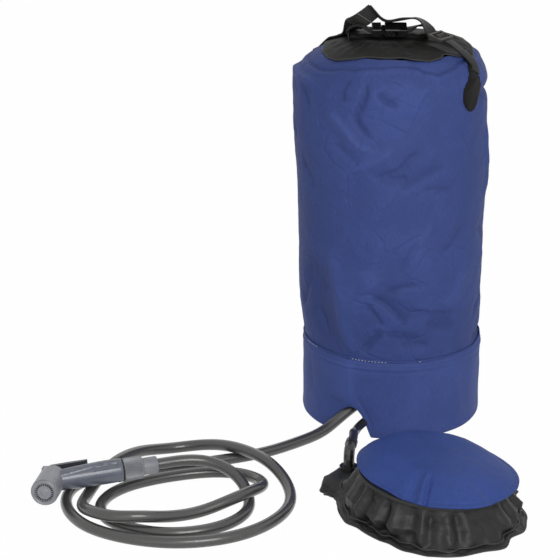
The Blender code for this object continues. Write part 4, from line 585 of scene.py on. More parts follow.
def plastic_finish(name, colour, shine, grain=900.0, depth=0.00006, gloss=0.0, wear=1.6):
    """Moulded plastic: fine spark grain, slow flow clouds, small scratches and dust."""
    shell = Finish(name, shine, {"Coat Roughness": 0.12, "Coat IOR": 1.5})
    body = shell.solid()
    cloud = shell.noise(body, 70.0, 3.0, 0.55)
    spark = shell.noise(body, grain, 3.0, 0.6)
    scratch = shell.noise(shell.stretch(body, (1.0, 9.0, 3.0)), 130.0, 5.0, 0.8).between(0.62, 0.70)
    dust = shell.noise(body, 34.0, 6.0, 0.7).between(0.52, 0.74)
    tone = shell.mix(cloud.between(0.3, 0.7), deeper(colour, 0.90), deeper(colour, 1.10))
    tone = shell.mix(spark.between(0.42, 0.62) * 0.35, tone, deeper(colour, 1.22))
    tone = shell.mix(scratch * 0.30, tone, deeper(colour, wear))
    tone = shell.mix(dust * 0.18, tone, deeper(colour, wear * 1.1))
    shell.put("Base Color", tone)
    shell.put("Coat Weight", scratch * (-gloss * 0.6) + gloss)
    shell.put("Roughness", cloud * 0.10 + spark * 0.10 + scratch * 0.15 + dust * 0.10 + (shine - 0.12))
    shell.bump(spark * 0.7 + scratch * -0.4, depth, 0.8)
    return shell.material


def steel_finish(name):
    """Drawn steel wire with a dull film."""
    wire = Finish(name, 0.32, {"Metallic": 1.0})
    body = wire.solid()
    film = wire.noise(body, 180.0, 5.0, 0.7)
    wire.put("Base Color", wire.mix(film.between(0.4, 0.7), (0.42, 0.42, 0.43), (0.62, 0.61, 0.60)))
    wire.put("Roughness", film * 0.3 + 0.22)
    wire.bump(film, 0.00005, 0.5)
    return wire.material


def colours():
    return bpy.context.scene.shower_colours


def sizes():
    return bpy.context.scene.shower_sizes


def tank_cloth():
    return finish_named("tank_cloth", woven_finish, colours().tank, 0.66, crumpled=3.8)


def skirt_finish():
    # painted light: the same cloth as the tank, made 1.2 times lighter on the skirt
    return finish_named("skirt_cloth", woven_finish, deeper(colours().tank, 1.2), 0.62)


def tread_cloth():
    return finish_named("tread_cloth", woven_finish, colours().tread, 0.60)


def black_cloth():
    # 0.6 and 1.5: painted shade in the folds' valleys, painted highlight and rubbed coating on their ridges
    return finish_named("black_cloth", woven_finish, colours().black_cloth, 0.60, 0.12, 0.6, 1.5, 1.7)


def pump_cloth():
    # 0.5 and 1.7: painted shade in the gathers' valleys, painted highlight and rubbed coating on their ridges
    return finish_named("pump_cloth", woven_finish, colours().pump_cloth, 0.44, 0.31, 0.5, 1.7, 1.8)


def web_cloth():
    return finish_named("web_cloth", webbing_finish, colours().webbing)


def plastic(kind, *settings):
    """The moulded plastic of one kind of part, in its own colour."""
    return finish_named(f"{kind}_plastic", plastic_finish, getattr(colours(), kind), *settings)


def matt(name, colour, rough=0.7, grain=1800.0):
    """A dull finish for edges, thread and seals."""
    return finish_named(name, plastic_finish, colour, rough, grain, 0.0001)


def rubbed_edge():
    return matt("rubbed_edge", deeper(colours().black_cloth, 2.6))


# webbing made fourteen times lighter: a painted highlight along the strap's folded edge
def rubbed_webbing():
    return matt("rubbed_webbing", deeper(colours().webbing, 14.0), 0.6)


def pump_piping():
    return matt("pump_piping", deeper(colours().pump_cloth, 1.9), 0.5)


# dull dark rubber of the seals and gaskets, also used as painted shade in the handle's joint and the spray holes
def rubber_and_painted_shade():
    return matt("seal_rubber_skin", (0.016, 0.016, 0.016), 0.7, 700.0)


def steel():
    return finish_named("drawn_steel", steel_finish)


def flow(points, count):
    """Points at even steps along a natural cubic spline through the given points."""
    knots = np.array(points, dtype=float)
    steps = np.linalg.norm(np.diff(knots, axis=0), axis=1) ** 0.5
    at = np.concatenate(((0.0,), np.cumsum(steps)))
    size = len(knots)
    system = np.eye(size)
    right = np.zeros_like(knots)
    for row in range(1, size - 1):
        before, after = steps[row - 1], steps[row]
        system[row, row - 1:row + 2] = (before, 2.0 * (before + after), after)
        right[row] = 6.0 * ((knots[row + 1] - knots[row]) / after - (knots[row] - knots[row - 1]) / before)
    bends = np.linalg.solve(system, right)
    fine = np.linspace(0.0, at[-1], 40 * size)
    span = np.clip(np.searchsorted(at, fine, side="right") - 1, 0, size - 2)
    width = steps[span][:, None]
    far = ((fine - at[span])[:, None]) / width
    near = 1.0 - far
    path = (near * knots[span] + far * knots[span + 1]
            + width ** 2 / 6.0 * ((near ** 3 - near) * bends[span] + (far ** 3 - far) * bends[span + 1]))
    run = run_of(path)
    even = np.linspace(0.0, run[-1], count)
    return np.stack([np.interp(even, run, path[:, axis]) for axis in range(path.shape[1])], axis=1)


def run_of(path):
    """The length of a path up to each of its points."""
    return np.concatenate(((0.0,), np.cumsum(np.linalg.norm(np.diff(path, axis=0), axis=1))))


def rows_at(along, *tables):
    """Rows of even tables, read at shares of their length."""
    at = np.linspace(0.0, 1.0, len(tables[0]))
    return (np.stack([np.interp(along, at, rows[:, axis]) for axis in range(rows.shape[1])], axis=1)
            for rows in tables)


def unit(rows):
    return rows / np.linalg.norm(rows, axis=1)[:, None]


def polar(reach, turn, height, lean=0.0):
    """Places at a reach and a turn round an axis that leans to one side."""
    return np.stack((lean + reach * np.cos(turn), reach * np.sin(turn), height), axis=1)


def in_frame(matrix, places):
    return places @ np.array(matrix.to_3x3()).T + np.array(matrix.translation)


def round_bag(across):
    """Degrees round the bag, from its back."""
    return BACK + 360.0 * across


def from_back(degrees):
    """The same degrees within one turn from the back."""
    return np.mod(degrees - BACK, 360.0) + BACK


def apart(degrees, middle):
    """How many degrees lie between two ways, either side."""
    return np.abs(np.mod(degrees - middle + 180.0, 360.0) - 180.0)


def bell(off, width):
    return np.exp(-(off / width) ** 2)


def eased(amount):
    amount = np.clip(amount, 0.0, 1.0)
    return amount * amount * (3.0 - 2.0 * amount)


def around(table, degrees):
    """Values round a closed line, eased from one place of the table to the next."""
    knots = sorted((turn % 360.0, value) for turn, value in table)
    start, first = knots[0]
    line = [(turn - start, value) for turn, value in knots] + [(360.0, first)]
    return along_line(line, np.mod(degrees - start, 360.0))[:, 0]


def along_line(table, at):
    """Rows of a table read along its first column, eased."""
    knots = np.array(table, dtype=float)
    span = np.clip(np.searchsorted(knots[:, 0], at, side="right") - 1, 0, len(knots) - 2)
    amount = eased((at - knots[span, 0]) / (knots[span + 1, 0] - knots[span, 0]))[:, None]
    return knots[span, 1:] * (1.0 - amount) + knots[span + 1, 1:] * amount


def fold_push(folds, degrees, heights):
    """How far the creases push cloth outwards, in mm, at degrees and heights on the flat cloth."""
    flat = np.stack((degrees * CLOTH_PER_DEGREE, heights), axis=1)
    push = np.zeros(len(flat))
    for depth, width, lean, sharp, line in folds:
        knots = flow([(turn * CLOTH_PER_DEGREE, height) for turn, height in line], 6 * len(line))
        box = np.all((flat > knots.min(axis=0) - 4.0 * width) & (flat < knots.max(axis=0) + 4.0 * width), axis=1)
        places = flat[box]
        if not len(places):
            continue
        near = np.full(len(places), np.inf)
        side = np.zeros(len(places))
        run = np.zeros(len(places))
        for index, (start, end) in enumerate(zip(knots, knots[1:])):
            way = end - start
            rel = places - start
            amount = np.clip(rel @ way / (way @ way), 0.0, 1.0)
            gap = np.linalg.norm(rel - amount[:, None] * way, axis=1)
            closer = gap < near
            near[closer] = gap[closer]
            side[closer] = np.sign(way[0] * rel[closer, 1] - way[1] * rel[closer, 0])
            run[closer] = (index + amount[closer]) / (len(knots) - 1)
        soft = bell(near, width)
        reach = width * np.where(side * lean > 0.0, 1.9, 0.42) if lean else width / 2.2
        shape = soft * 0.5 * (1.0 - sharp) + np.exp(-near / reach) * (0.5 + 0.5 * sharp)
        push[box] += depth * shape * eased(np.minimum(run, 1.0 - run) * 4.0)
    return push


def crumple(places, scale, seed):
    """Small creases of handled cloth: valleys and ridges where two noises pass through nothing."""
    shift = Vector((seed, seed * 1.7, seed * 0.3))
    return np.array([abs(noise.noise(place * scale + shift)) - abs(noise.noise(place * scale * 1.6 - shift)) * 0.8
                     + 0.5 * noise.noise(place * scale * 0.5 + shift) for place in map(Vector, places)])


def tank_table():
    """Fine rows of the tank's outline with the outward way at each, as radius, lean, height, out, up."""
    line = flow(TANK_LINE, 600)
    way = unit(np.gradient(line[:, (0, 2)], axis=0))
    return np.column_stack((line, way[:, 1], -way[:, 0]))


TANK = tank_table()


def tank_skin(degrees, rows, lift=0.0):
    """Places on the folded tank in metres round the bag's axis, and the push of its folds in mm.

    A row is a share of the way from the tank's foot to the collar, along the cloth.
    """
    at = np.linspace(0.0, 1.0, len(TANK))
    radius, lean, height, out, up = (np.interp(rows, at, column) for column in TANK.T)
    turn = np.radians(degrees)
    push = fold_push(TANK_FOLDS, from_back(degrees), height) * sizes().folds
    middle = polar(radius, turn, height) * MM
    calm = 0.35 + 0.65 * eased((np.abs(height - 262.0) - 20.0) / 40.0)
    for scale, seed, depth in ((16.0, 3.0, 1.3), (47.0, 8.0, 0.75)):
        push += crumple(middle, scale, seed) * depth * sizes().crumple * calm
    seam = height - around(SHOULDER_SEAM, degrees)
    push += -2.0 * bell(seam, 1.5) + 1.4 * bell(seam + 3.4, 2.4)
    push *= eased((height - 91.0) / 7.0)
    return slump(polar(radius + out * (push + lift), turn, height + up * (push + lift), lean) * MM), push


def slump(places):
    """Lower the top of the bag on its left side, where the filled cloth has settled."""
    left = eased((-places[:, 0] / MM - 38.0) / 45.0)
    places[:, 2] -= 6.5 * MM * left * eased((places[:, 2] / MM - 396.0) / 28.0)
    return places


def tank_row(height):
    """The row of the tank at a height in mm."""
    return np.interp(height, TANK[:, 2], np.linspace(0.0, 1.0, len(TANK)))


def tank_edge(radius):
    """The height in mm of the tank's shoulder at a radius from the bag's axis."""
    shoulder = TANK[TANK[:, 2] > 405.0]
    order = np.argsort(shoulder[:, 0])
    return np.interp(radius, shoulder[order, 0], shoulder[order, 2])


def sheet_mesh(columns, rows, place, closed=False, centre=BAG):
    """A grid of cloth. Place gets the shares across and along, and gives places, flat places and folds."""
    bm = bmesh.new()
    bmesh.ops.create_grid(bm, x_segments=columns, y_segments=rows, size=0.5)
    bm.verts.index_update()
    shares = np.array([vert.co[:2] for vert in bm.verts]) + 0.5
    places, flats, folds = place(shares[:, 0], shares[:, 1])
    flat_layer = bm.loops.layers.uv.new("cloth")
    # the fold attribute carries painted light: woven cloth is painted darker below zero and lighter above zero
    fold_layer = bm.verts.layers.float.new("fold")
    for face in bm.faces:
        for loop in face.loops:
            loop[flat_layer].uv = flats[loop.vert.index]
    for vert, spot, fold in zip(bm.verts, places + np.array(centre), folds):
        vert.co = spot
        vert[fold_layer] = fold
    if closed:
        bmesh.ops.remove_doubles(bm, verts=bm.verts, dist=MERGE)
    bmesh.ops.recalc_face_normals(bm, faces=bm.faces)
    return bm


def face_out(bm, centre):
    """Turn an open sheet's faces so that they look away from a place."""
    out = sum(face.normal.dot(face.calc_center_median() - centre) * face.calc_area() for face in bm.faces)
    if out < 0.0:
        bmesh.ops.reverse_faces(bm, faces=bm.faces)


def spun(profile, sides):
    """Spin a closed outline of (radius, height) round the upright axis."""
    bm = bmesh.new()
    verts = [bm.verts.new((radius, 0.0, height)) for radius, height in profile]
    edges = [bm.edges.new(pair) for pair in zip(verts, verts[1:] + verts[:1])]
    bmesh.ops.spin(bm, geom=verts + edges, cent=(0.0, 0.0, 0.0), axis=(0.0, 0.0, 1.0), dvec=(0.0, 0.0, 0.0),
                   angle=FULL_TURN, steps=sides, use_merge=True)
    bmesh.ops.remove_doubles(bm, verts=bm.verts, dist=MERGE)
    bmesh.ops.recalc_face_normals(bm, faces=bm.faces)
    return bm


def enter(name, data, body, nodes):
    """Put a piece in the scene, with its body and the CAD nodes that it stands for."""
    made = bpy.data.objects.new(name, data)
    bpy.context.scene.collection.objects.link(made)
    if nodes:
        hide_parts(*nodes)
    if body:
        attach(made, body)
    return made


def piece(name, bm, finish, body, nodes=(), sharp=None):
    """A piece with its finish, of a mesh that is done."""
    mesh = bpy.data.meshes.new(name)
    bm.to_mesh(mesh)
    bm.free()
    mesh.shade_smooth()
    if sharp is not None:
        mesh.set_sharp_from_angle(angle=math.radians(sharp))
    mesh.materials.append(finish)
    return enter(name, mesh, body, nodes)


def thicken(made, thickness, offset=-1.0):
    change = made.modifiers.new("thickness", "SOLIDIFY")
    change.thickness = thickness
    change.offset = offset
    return made


def soften(made, width, angle):
    change = made.modifiers.new("soft_edges", "BEVEL")
    change.width = width
    change.segments = 2
    change.limit_method = "ANGLE"
    change.angle_limit = math.radians(angle)
    change.use_clamp_overlap = True
    return made


def tube(name, path, radius, finish, body, nodes=(), round_steps=5, cyclic=False):
    """A round tube along a path."""
    data = bpy.data.curves.new(name, "CURVE")
    data.dimensions = "3D"
    data.bevel_depth = radius
    data.bevel_resolution = round_steps
    data.use_fill_caps = True
    line = data.splines.new("POLY")
    line.points.add(len(path) - 1)
    for point, place in zip(line.points, path):
        point.co = (*place, 1.0)
    line.use_cyclic_u = cyclic
    data.materials.append(finish)
    return enter(name, data, body, nodes)


def ribbon(name, points, count, width, nodes, crown=0.0):
    """A strap through the given places; each place also has the way of the strap's width."""
    rows = flow([(*spot, *(MERGE * part for part in way)) for spot, way in points], count)
    path = slump(rows[:, :3])
    steps = unit(np.gradient(path, axis=0))
    ways = unit(rows[:, 3:] - steps * np.sum(rows[:, 3:] * steps, axis=1)[:, None])
    ups = unit(np.cross(steps, ways))
    run = run_of(path)

    def place(across, along):
        spots, sides, lifts = rows_at(along, path, ways, ups)
        off = (across - 0.5) * width
        rise = crown * (1.0 - (2.0 * across - 1.0) ** 2)
        fuzz = 0.00012 * np.sin(along * 190.0 + across * 3.0)
        flats = np.stack((off, np.interp(along, np.linspace(0.0, 1.0, count), run)), axis=1)
        return spots + sides * (off + fuzz)[:, None] + lifts * rise[:, None], flats, np.zeros(len(across))

    made = piece(name, sheet_mesh(6, count - 1, place), web_cloth(), "bag", nodes)
    thicken(made, WEB_THICK, 0.0)
    return soften(made, 0.0004, 50.0)


def stitches(name, spots, ways, size, finish):
    """A row of short stitches, each a small drop lying along its way."""
    bm = bmesh.new()
    stretch = Matrix.Diagonal((size[0] / 2.0, size[1] / 2.0, size[1] / 2.0, 1.0))
    for spot, way in zip(spots, ways):
        turn = Vector(way).to_track_quat("X", "Z").to_matrix().to_4x4()
        bmesh.ops.create_uvsphere(bm, u_segments=6, v_segments=4, radius=1.0,
                                  matrix=Matrix.Translation(BAG + Vector(spot)) @ turn @ stretch)
    return piece(name, bm, finish, "bag")


def dress(finish, *nodes):
    """Give CAD nodes that stay in view their finish."""
    for node in nodes:
        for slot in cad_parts[node].material_slots:
            slot.material = finish


class SHOWER_OT_camera(bpy.types.Operator):
    """Place the camera at the photograph's angle"""
    bl_idname = "shower.camera"
    bl_label = "Camera"

    def execute(self, context):
        data = bpy.data.cameras.new("camera")
        data.lens = sizes().lens
        data.sensor_width = 36.0
        made = bpy.data.objects.new("camera", data)
        made.location = BAG + Vector(CAMERA_PLACE)
        made.rotation_euler = (CAMERA_TILT, 0.0, 0.0)
        context.scene.collection.objects.link(made)
        context.scene.camera = made
        return {"FINISHED"}


class SHOWER_OT_hoses(bpy.types.Operator):
    """Lay the water hose and the air hose"""
    bl_idname = "shower.hoses"
    bl_label = "Hoses"

    def execute(self, context):
        for name, route, count, size, run, tone, shine, coat, slot in (
                ("water_hose", WATER_ROUTE, WATER_POINTS, sizes().water_hose, WATER_LENGTH, colours().water_hose,
                 0.30, 0.5, "hose_gray"),
                ("air_hose", AIR_ROUTE, AIR_POINTS, sizes().air_hose, AIR_LENGTH, colours().air_hose,
                 0.32, 0.2, "hose_black")):
            path = flow(route, count) + np.array(BAG)
            skin = f"{name}_skin"
            made = tube(skin, path, size / 2.0, finish_named(skin, hose_finish, tone, shine, coat), "bag",
                        (name,), 7)
        return {"FINISHED"}


class SHOWER_OT_tank(bpy.types.Operator):
    """Make the tank's folded cloth and the panel under it"""
    bl_idname = "shower.tank"
    bl_label = "Tank"

    def execute(self, context):
        run = run_of(TANK[:, :3]) * MM

        def place(across, along):
            degrees = round_bag(across) + FRONT_SHARE * np.sin(FULL_TURN * across)
            places, push = tank_skin(degrees, along)
            length_at = np.interp(along, np.linspace(0.0, 1.0, len(run)), run)
            return places, np.stack((degrees * CLOTH_PER_DEGREE * MM, length_at), axis=1), push / 2.0

        made = piece("tank_cloth_skin", sheet_mesh(TANK_COLUMNS, TANK_ROWS, place, True), tank_cloth(),
                     "bag", ("tank_wall",))
        thicken(made, sizes().cloth)

        low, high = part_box("bottom_panel")
        radius = (high.x - low.x) / 2.0

        def panel(across, along):
            stops = (0.0, 0.42, 0.5, 0.58, 1.0)
            reach = radius * np.interp(along, stops, (0.0, 0.985, 1.0, 0.985, 0.0))
            rise = np.interp(along, stops, (low.z, low.z, (low.z + high.z) / 2.0, high.z, high.z))
            places = polar(reach, np.radians(360.0 * across), rise) + np.array(BAG)
            ripple = crumple(places, 40.0, 2.0)
            places[:, 2] += ripple * 0.0004 * eased(reach / radius * 3.0) * eased((radius - reach) / 0.01)
            return places, places[:, :2], ripple * 0.4

        piece("bottom_panel_cloth", sheet_mesh(96, 60, panel, True, (0.0, 0.0, 0.0)), black_cloth(),
              "bag", ("bottom_panel",))
        return {"FINISHED"}


def skirt_place(degrees, heights):
    """Places on the skirt in metres round the bag's axis, and the push of its folds in mm."""
    turn = np.radians(degrees)
    push = fold_push(SKIRT_FOLDS, from_back(degrees), heights)
    push += crumple(polar(105.0, turn, heights) * MM, 26.0, 5.0) * 0.8 * sizes().crumple
    push += 0.55 * eased((heights - 82.5) / 1.6) - 1.3 * eased((heights - 85.0) / 8.0)
    push += 0.35 * bell(heights - 4.0, 3.0) - 0.9 * bell(heights - 82.0, 1.1)
    return polar(SKIRT_R + push, turn, heights) * MM, push


class SHOWER_OT_skirt(bpy.types.Operator):
    """Make the skirt that the bag stands on, with its arch for the hoses"""
    bl_idname = "shower.skirt"
    bl_label = "Skirt"

    def execute(self, context):
        arch_degrees, arch_heights = zip(*ARCH)

        def place(across, along):
            degrees = round_bag(across)
            foot = np.interp(from_back(degrees), arch_degrees, arch_heights, left=0.0, right=0.0)
            heights = foot + (SKIRT_TOP - foot) * along
            places, push = skirt_place(degrees, heights)
            rim = eased(1.0 - (heights - foot) / 2.2)
            places += polar(-0.7 * rim * MM, np.radians(degrees), 0.0 * rim)
            return places, np.stack((degrees * CLOTH_PER_DEGREE, heights), axis=1) * MM, push / 2.0

        made = piece("skirt_cloth", sheet_mesh(480, 54, place, True), skirt_finish(), "bag",
                     ("base_skirt",))
        thicken(made, sizes().cloth * 1.5)
        return {"FINISHED"}


class SHOWER_OT_seam(bpy.types.Operator):
    """Sew the tank to the skirt"""
    bl_idname = "shower.seam"
    bl_label = "Seam"

    def execute(self, context):
        def place(across, along):
            degrees = round_bag(across)
            turn = np.radians(degrees)
            bend = FULL_TURN * along
            wander = 0.45 * np.sin(turn * 3.0 + 0.6) + 0.3 * np.sin(turn * 7.0 + 2.0)
            reach = SEAM_R + 0.9 * np.cos(bend) + 0.2 * np.sin(turn * 23.0)
            height = SEAM_Z + wander + (1.5 - 0.25 * np.sin(turn * 11.0)) * np.sin(bend)
            flats = np.stack((degrees * CLOTH_PER_DEGREE, along * 9.0), axis=1) * MM
            # the fold values paint the piping darker all round, most on its inner side against the cloth: painted
            # shade
            return polar(reach, turn, height, -0.4) * MM, flats, 0.4 * np.cos(bend) - 0.5

        piece("seam_piping", sheet_mesh(240, 12, place, True), tank_cloth(), "bag", ("seam_welt",))
        white = matt("white_thread", colours().thread, 0.6, 2200.0)
        for name, finish, (height, runs) in (("seam_thread_blue", tank_cloth(), BLUE_THREAD),
                                             ("seam_thread_white", white, WHITE_THREAD)):
            degrees = np.concatenate([
                np.linspace(start, end, max(int((end - start) * CLOTH_PER_DEGREE / STITCH_PITCH), 1))
                for start, end in runs])
            turn = np.radians(degrees)
            heights = np.full(len(turn), height)
            spots = skirt_place(degrees, heights)[0] if height < SKIRT_TOP else polar(105.4, turn, heights) * MM
            ways = polar(1.0, turn + math.pi / 2.0, 0.04 * np.sin(turn * 17.0))
            stitches(name, spots, ways, SEAM_STITCH, finish)
        return {"FINISHED"}


def mouth_reach(turn):
    """How far the flat mouth reaches from its middle, in mm."""
    across = np.abs(np.cos(turn)) / (MOUTH_L / 2.0)
    deep = np.abs(np.sin(turn)) / (MOUTH_W / 2.0)
    return (across ** 4 + deep ** 4) ** -0.25


def collar_place(degrees, along):
    """Places on the collar in metres, from its lower edge to the mouth, and its folds."""
    turn = np.radians(degrees)
    edge = around(COLLAR_EDGE, degrees)
    start = tank_edge(edge) + 1.9
    reach = edge * (1.0 - along) + mouth_reach(turn) * along
    lean = COLLAR_X * (1.0 - along) + MOUTH_X * along
    drift = turn * 13.0 + 1.4 * np.sin(turn * 3.0)
    pleat = (np.abs(np.sin(drift)) - 0.55) * 0.8 * np.sin(np.pi * np.clip(along, 0.0, 1.0)) ** 0.7
    swell = 2.6 * np.sin(np.pi * along) ** 1.2
    height = start + (MOUTH_Z - start) * along ** 0.85 + swell + pleat + 2.0 * eased((along - 0.93) / 0.07)
    places = polar(reach, turn, height, lean) * MM
    creases = crumple(places, 38.0, 6.0)
    places[:, 2] += creases * 2.2 * MM * np.sin(np.pi * np.clip(along, 0.02, 1.0))
    return slump(places), pleat * 0.6 + creases * 0.4


class SHOWER_OT_collar(bpy.types.Operator):
    """Make the black collar and its bound edge"""
    bl_idname = "shower.collar"
    bl_label = "Collar"

    def execute(self, context):
        def place(across, along):
            degrees = round_bag(across)
            places, folds = collar_place(degrees, along)
            return places, np.stack((degrees * CLOTH_PER_DEGREE * MM, along * 0.075), axis=1), folds

        bm = sheet_mesh(300, 60, place, True)
        face_out(bm, BAG_MIDDLE)
        thicken(piece("collar_cloth", bm, black_cloth(), "bag", ("collar",)), 0.0010)
        degrees = np.linspace(BACK, BACK + 360.0, 240, endpoint=False)
        rim = collar_place(degrees, np.zeros(240))[0] + np.array(BAG)
        tube("collar_binding", rim - np.array((0.0, 0.0, 0.0004)), 0.00075, rubbed_edge(), "bag",
             (), 2, True)
        return {"FINISHED"}


class SHOWER_OT_roll(bpy.types.Operator):
    """Roll the mouth down"""
    bl_idname = "shower.roll"
    bl_label = "Rolled mouth"

    def execute(self, context):
        middle_z = (ROLL_LOW + ROLL_HIGH) / 2.0
        high = (ROLL_HIGH - ROLL_LOW) / 2.0 - 0.0006

        def place(across, along):
            bend = -math.pi / 2.0 - FULL_TURN * ROLL_TURNS * (1.0 - along)
            layer = 0.26 + 0.74 * along
            deep = 0.0055 + 0.0062 * along
            y = deep * np.sign(np.cos(bend)) * np.abs(np.cos(bend)) ** ROLL_FLAT
            z = high * layer * np.sign(np.sin(bend)) * np.abs(np.sin(bend)) ** ROLL_FLAT
            slack = np.sin(np.pi * across)
            x = MOUTH_X * MM + (across - 0.5) * (ROLL_L - 0.0016 * (1.0 - along))
            wobble = 0.0006 * np.sin(across * 17.0 + bend) + 0.0005 * np.sin(across * 41.0)
            z = z * (0.94 + 0.06 * slack) + wobble * layer - 0.0010 * (2.0 * across - 1.0) ** 2
            places = np.stack((x, y + wobble, middle_z + z), axis=1)
            return places, np.stack((across * ROLL_L, along * 0.09), axis=1), wobble * 900.0

        made = piece("rolled_mouth", sheet_mesh(70, 150, place), black_cloth(), "bag",
                     ("closure_roll",))
        thicken(made, 0.0009, 0.0)
        return {"FINISHED"}


class SHOWER_OT_straps(bpy.types.Operator):
    """Make the carry strap, the lower strap and the webs of the buckle"""
    bl_idname = "shower.straps"
    bl_label = "Straps"

    def execute(self, context):
        width = sizes().webbing
        for name, points in (("carry_web", CARRY_STRAP), ("folded_web", FOLDED_STRAP)):
            ribbon(name, points, 80, width, ("carry_strap",), 0.0006)
        # a thin pale tube along the strap's fold: painted highlight on the folded edge
        tube("strap_fold_edge", np.array(FOLD_EDGE) + np.array(BAG), 0.00045, rubbed_webbing(), "bag",
             (), 3)
        ribbon("lower_web", LOWER_STRAP, 48, width * 0.72, ("lower_strap",), 0.0004)
        for side, name in ((-1.0, "left"), (1.0, "right")):
            middle = MOUTH_X * MM
            end = middle + side * (ROLL_L / 2.0 + 0.0013)
            points = (
                ((middle + side * 0.0158, -0.0180, 0.4575), (0.0, 0.97, 0.24)),
                ((middle + side * 0.0205, -0.0175, 0.4585), (0.0, 0.97, 0.20)),
                ((middle + side * 0.0270, -0.0130, 0.4602), (0.0, 0.96, -0.15)),
                ((middle + side * 0.0360, -0.0070, 0.4598), (0.0, 0.94, -0.30)),
                ((end - side * 0.0016, -0.0020, 0.4572), (0.0, 0.97, -0.20)),
                ((end + side * 0.0006, 0.0, 0.4545), (0.0, 1.0, 0.0)),
                ((end + side * 0.0008, 0.0, 0.4515), (0.0, 1.0, 0.0)),
                ((end, 0.0, 0.4470), (0.0, 1.0, 0.0)),
            )
            ribbon(f"closing_band_{name}", points, 44, sizes().closing_web, (f"closing_web_{name}",))
        return {"FINISHED"}


def patch_skin(turn, side, along, lift):
    """Places on a strap patch, -1 to 1 across it and a share of its height, with the tank's folds."""
    shape = along_line(PATCH, along)
    degrees = turn + shape[:, 0] + side * shape[:, 1] / CLOTH_PER_DEGREE
    return tank_skin(degrees, tank_row(PATCH_LOW + (PATCH_HIGH - PATCH_LOW) * along), lift)


class SHOWER_OT_patches(bpy.types.Operator):
    """Sew the strap patches to the tank"""
    bl_idname = "shower.patches"
    bl_label = "Patches"

    def execute(self, context):
        for turn, name in zip(PATCH_TURNS, ("right", "left")):
            def place(across, along):
                side = 2.0 * across - 1.0
                edge = np.minimum(1.0 - np.abs(side), np.minimum(along, 1.0 - along) * 4.0)
                stitch = -0.35 * bell(edge - 0.16, 0.05)
                places, push = patch_skin(turn, side, along, 0.6 + 0.9 * eased(edge * 9.0) + stitch)
                # the stitch groove's fold value paints shade along it
                return places, np.stack(((across - 0.5) * 0.035, along * 0.05), axis=1), stitch * 1.4 + push * 0.1

            bm = sheet_mesh(44, 56, place)
            face_out(bm, BAG_MIDDLE)
            made = piece(f"strap_patch_{name}", bm, black_cloth(), "bag", (f"anchor_patch_{name}",))
            thicken(made, 0.0012)
            rows = np.tile(np.linspace(0.06, 0.94, 22), 2)
            sides = np.repeat((-0.84, 0.84), 22)
            spots, ahead = (patch_skin(turn, sides, rows + step, 1.5)[0] for step in (0.0, 0.01))
            stitches(f"patch_thread_{name}", spots, ahead - spots, PATCH_STITCH, web_cloth())
        return {"FINISHED"}


def gather_wave(turn):
    """The gathers' wave round the pump, with an uneven pitch."""
    drift = 2.17 + 1.3 * np.sin(3.0 * turn) + 0.8 * np.sin(5.0 * turn + 1.0)
    wave = np.cos(GATHERS * turn + drift)
    return 0.72 * wave + 0.34 * np.cos(31.0 * turn + 2.0 * drift) + 0.2 * np.cos(9.0 * turn + 0.5)


def bellows_place(degrees, along):
    """Places on the bellows in metres round the pump's middle, and the folds."""
    turn = np.radians(degrees)
    hem = around(HEM, degrees)
    lobe = around(PORT_LOBE, degrees)
    inner = np.minimum(hem - 7.0, 101.0)
    lap = hem - inner
    top = TREAD_Z / MM - 0.9 - math.tan(TREAD_TILT) * 80.0 * np.cos(turn)
    plain = (hem, hem - 0.3 * lap, hem - 0.6 * lap, inner, inner - 3.0, *BELLOWS_WALL)
    raised = (hem, hem - 0.5, hem - 2.0, np.maximum(hem - 12.0, 98.5), np.minimum(hem - 3.0, 98.0), *BELLOWS_WALL)
    reach = np.zeros(len(turn))
    height = np.zeros(len(turn))
    for index, rise in enumerate(BELLOWS_RISES):
        weight = np.interp(along, BELLOWS_STOPS, np.eye(len(BELLOWS_STOPS))[index])
        flat = 1.0 + (top - 1.0) * rise
        lifted = PORT_LIFTS[index] if index < len(PORT_LIFTS) else flat
        reach += weight * (plain[index] * (1.0 - lobe) + raised[index] * lobe)
        height += weight * (flat * (1.0 - lobe) + lifted * lobe)
    wave = gather_wave(turn)
    swell = eased((along - 0.14) / 0.16) * eased((1.02 - along) / 0.45)
    pinch = -1.3 * bell(along - 0.185, 0.018) * (1.0 - lobe)
    reach += wave * 4.0 * swell * sizes().gathers + pinch
    height += (1.1 + 1.1 * wave) * eased(1.0 - np.abs(along - 0.08) / 0.10) * (1.0 - lobe)
    places = polar(reach, turn, height) * MM
    creases = crumple(places, 60.0, 4.0)
    out = creases * 1.5 * eased(along / 0.1) * eased((1.0 - along) / 0.2) * (1.0 - 0.8 * lobe)
    places += polar(out * MM, turn, 0.0 * turn)
    return places, wave * 0.7 * swell + pinch * 0.6 + creases * 0.4


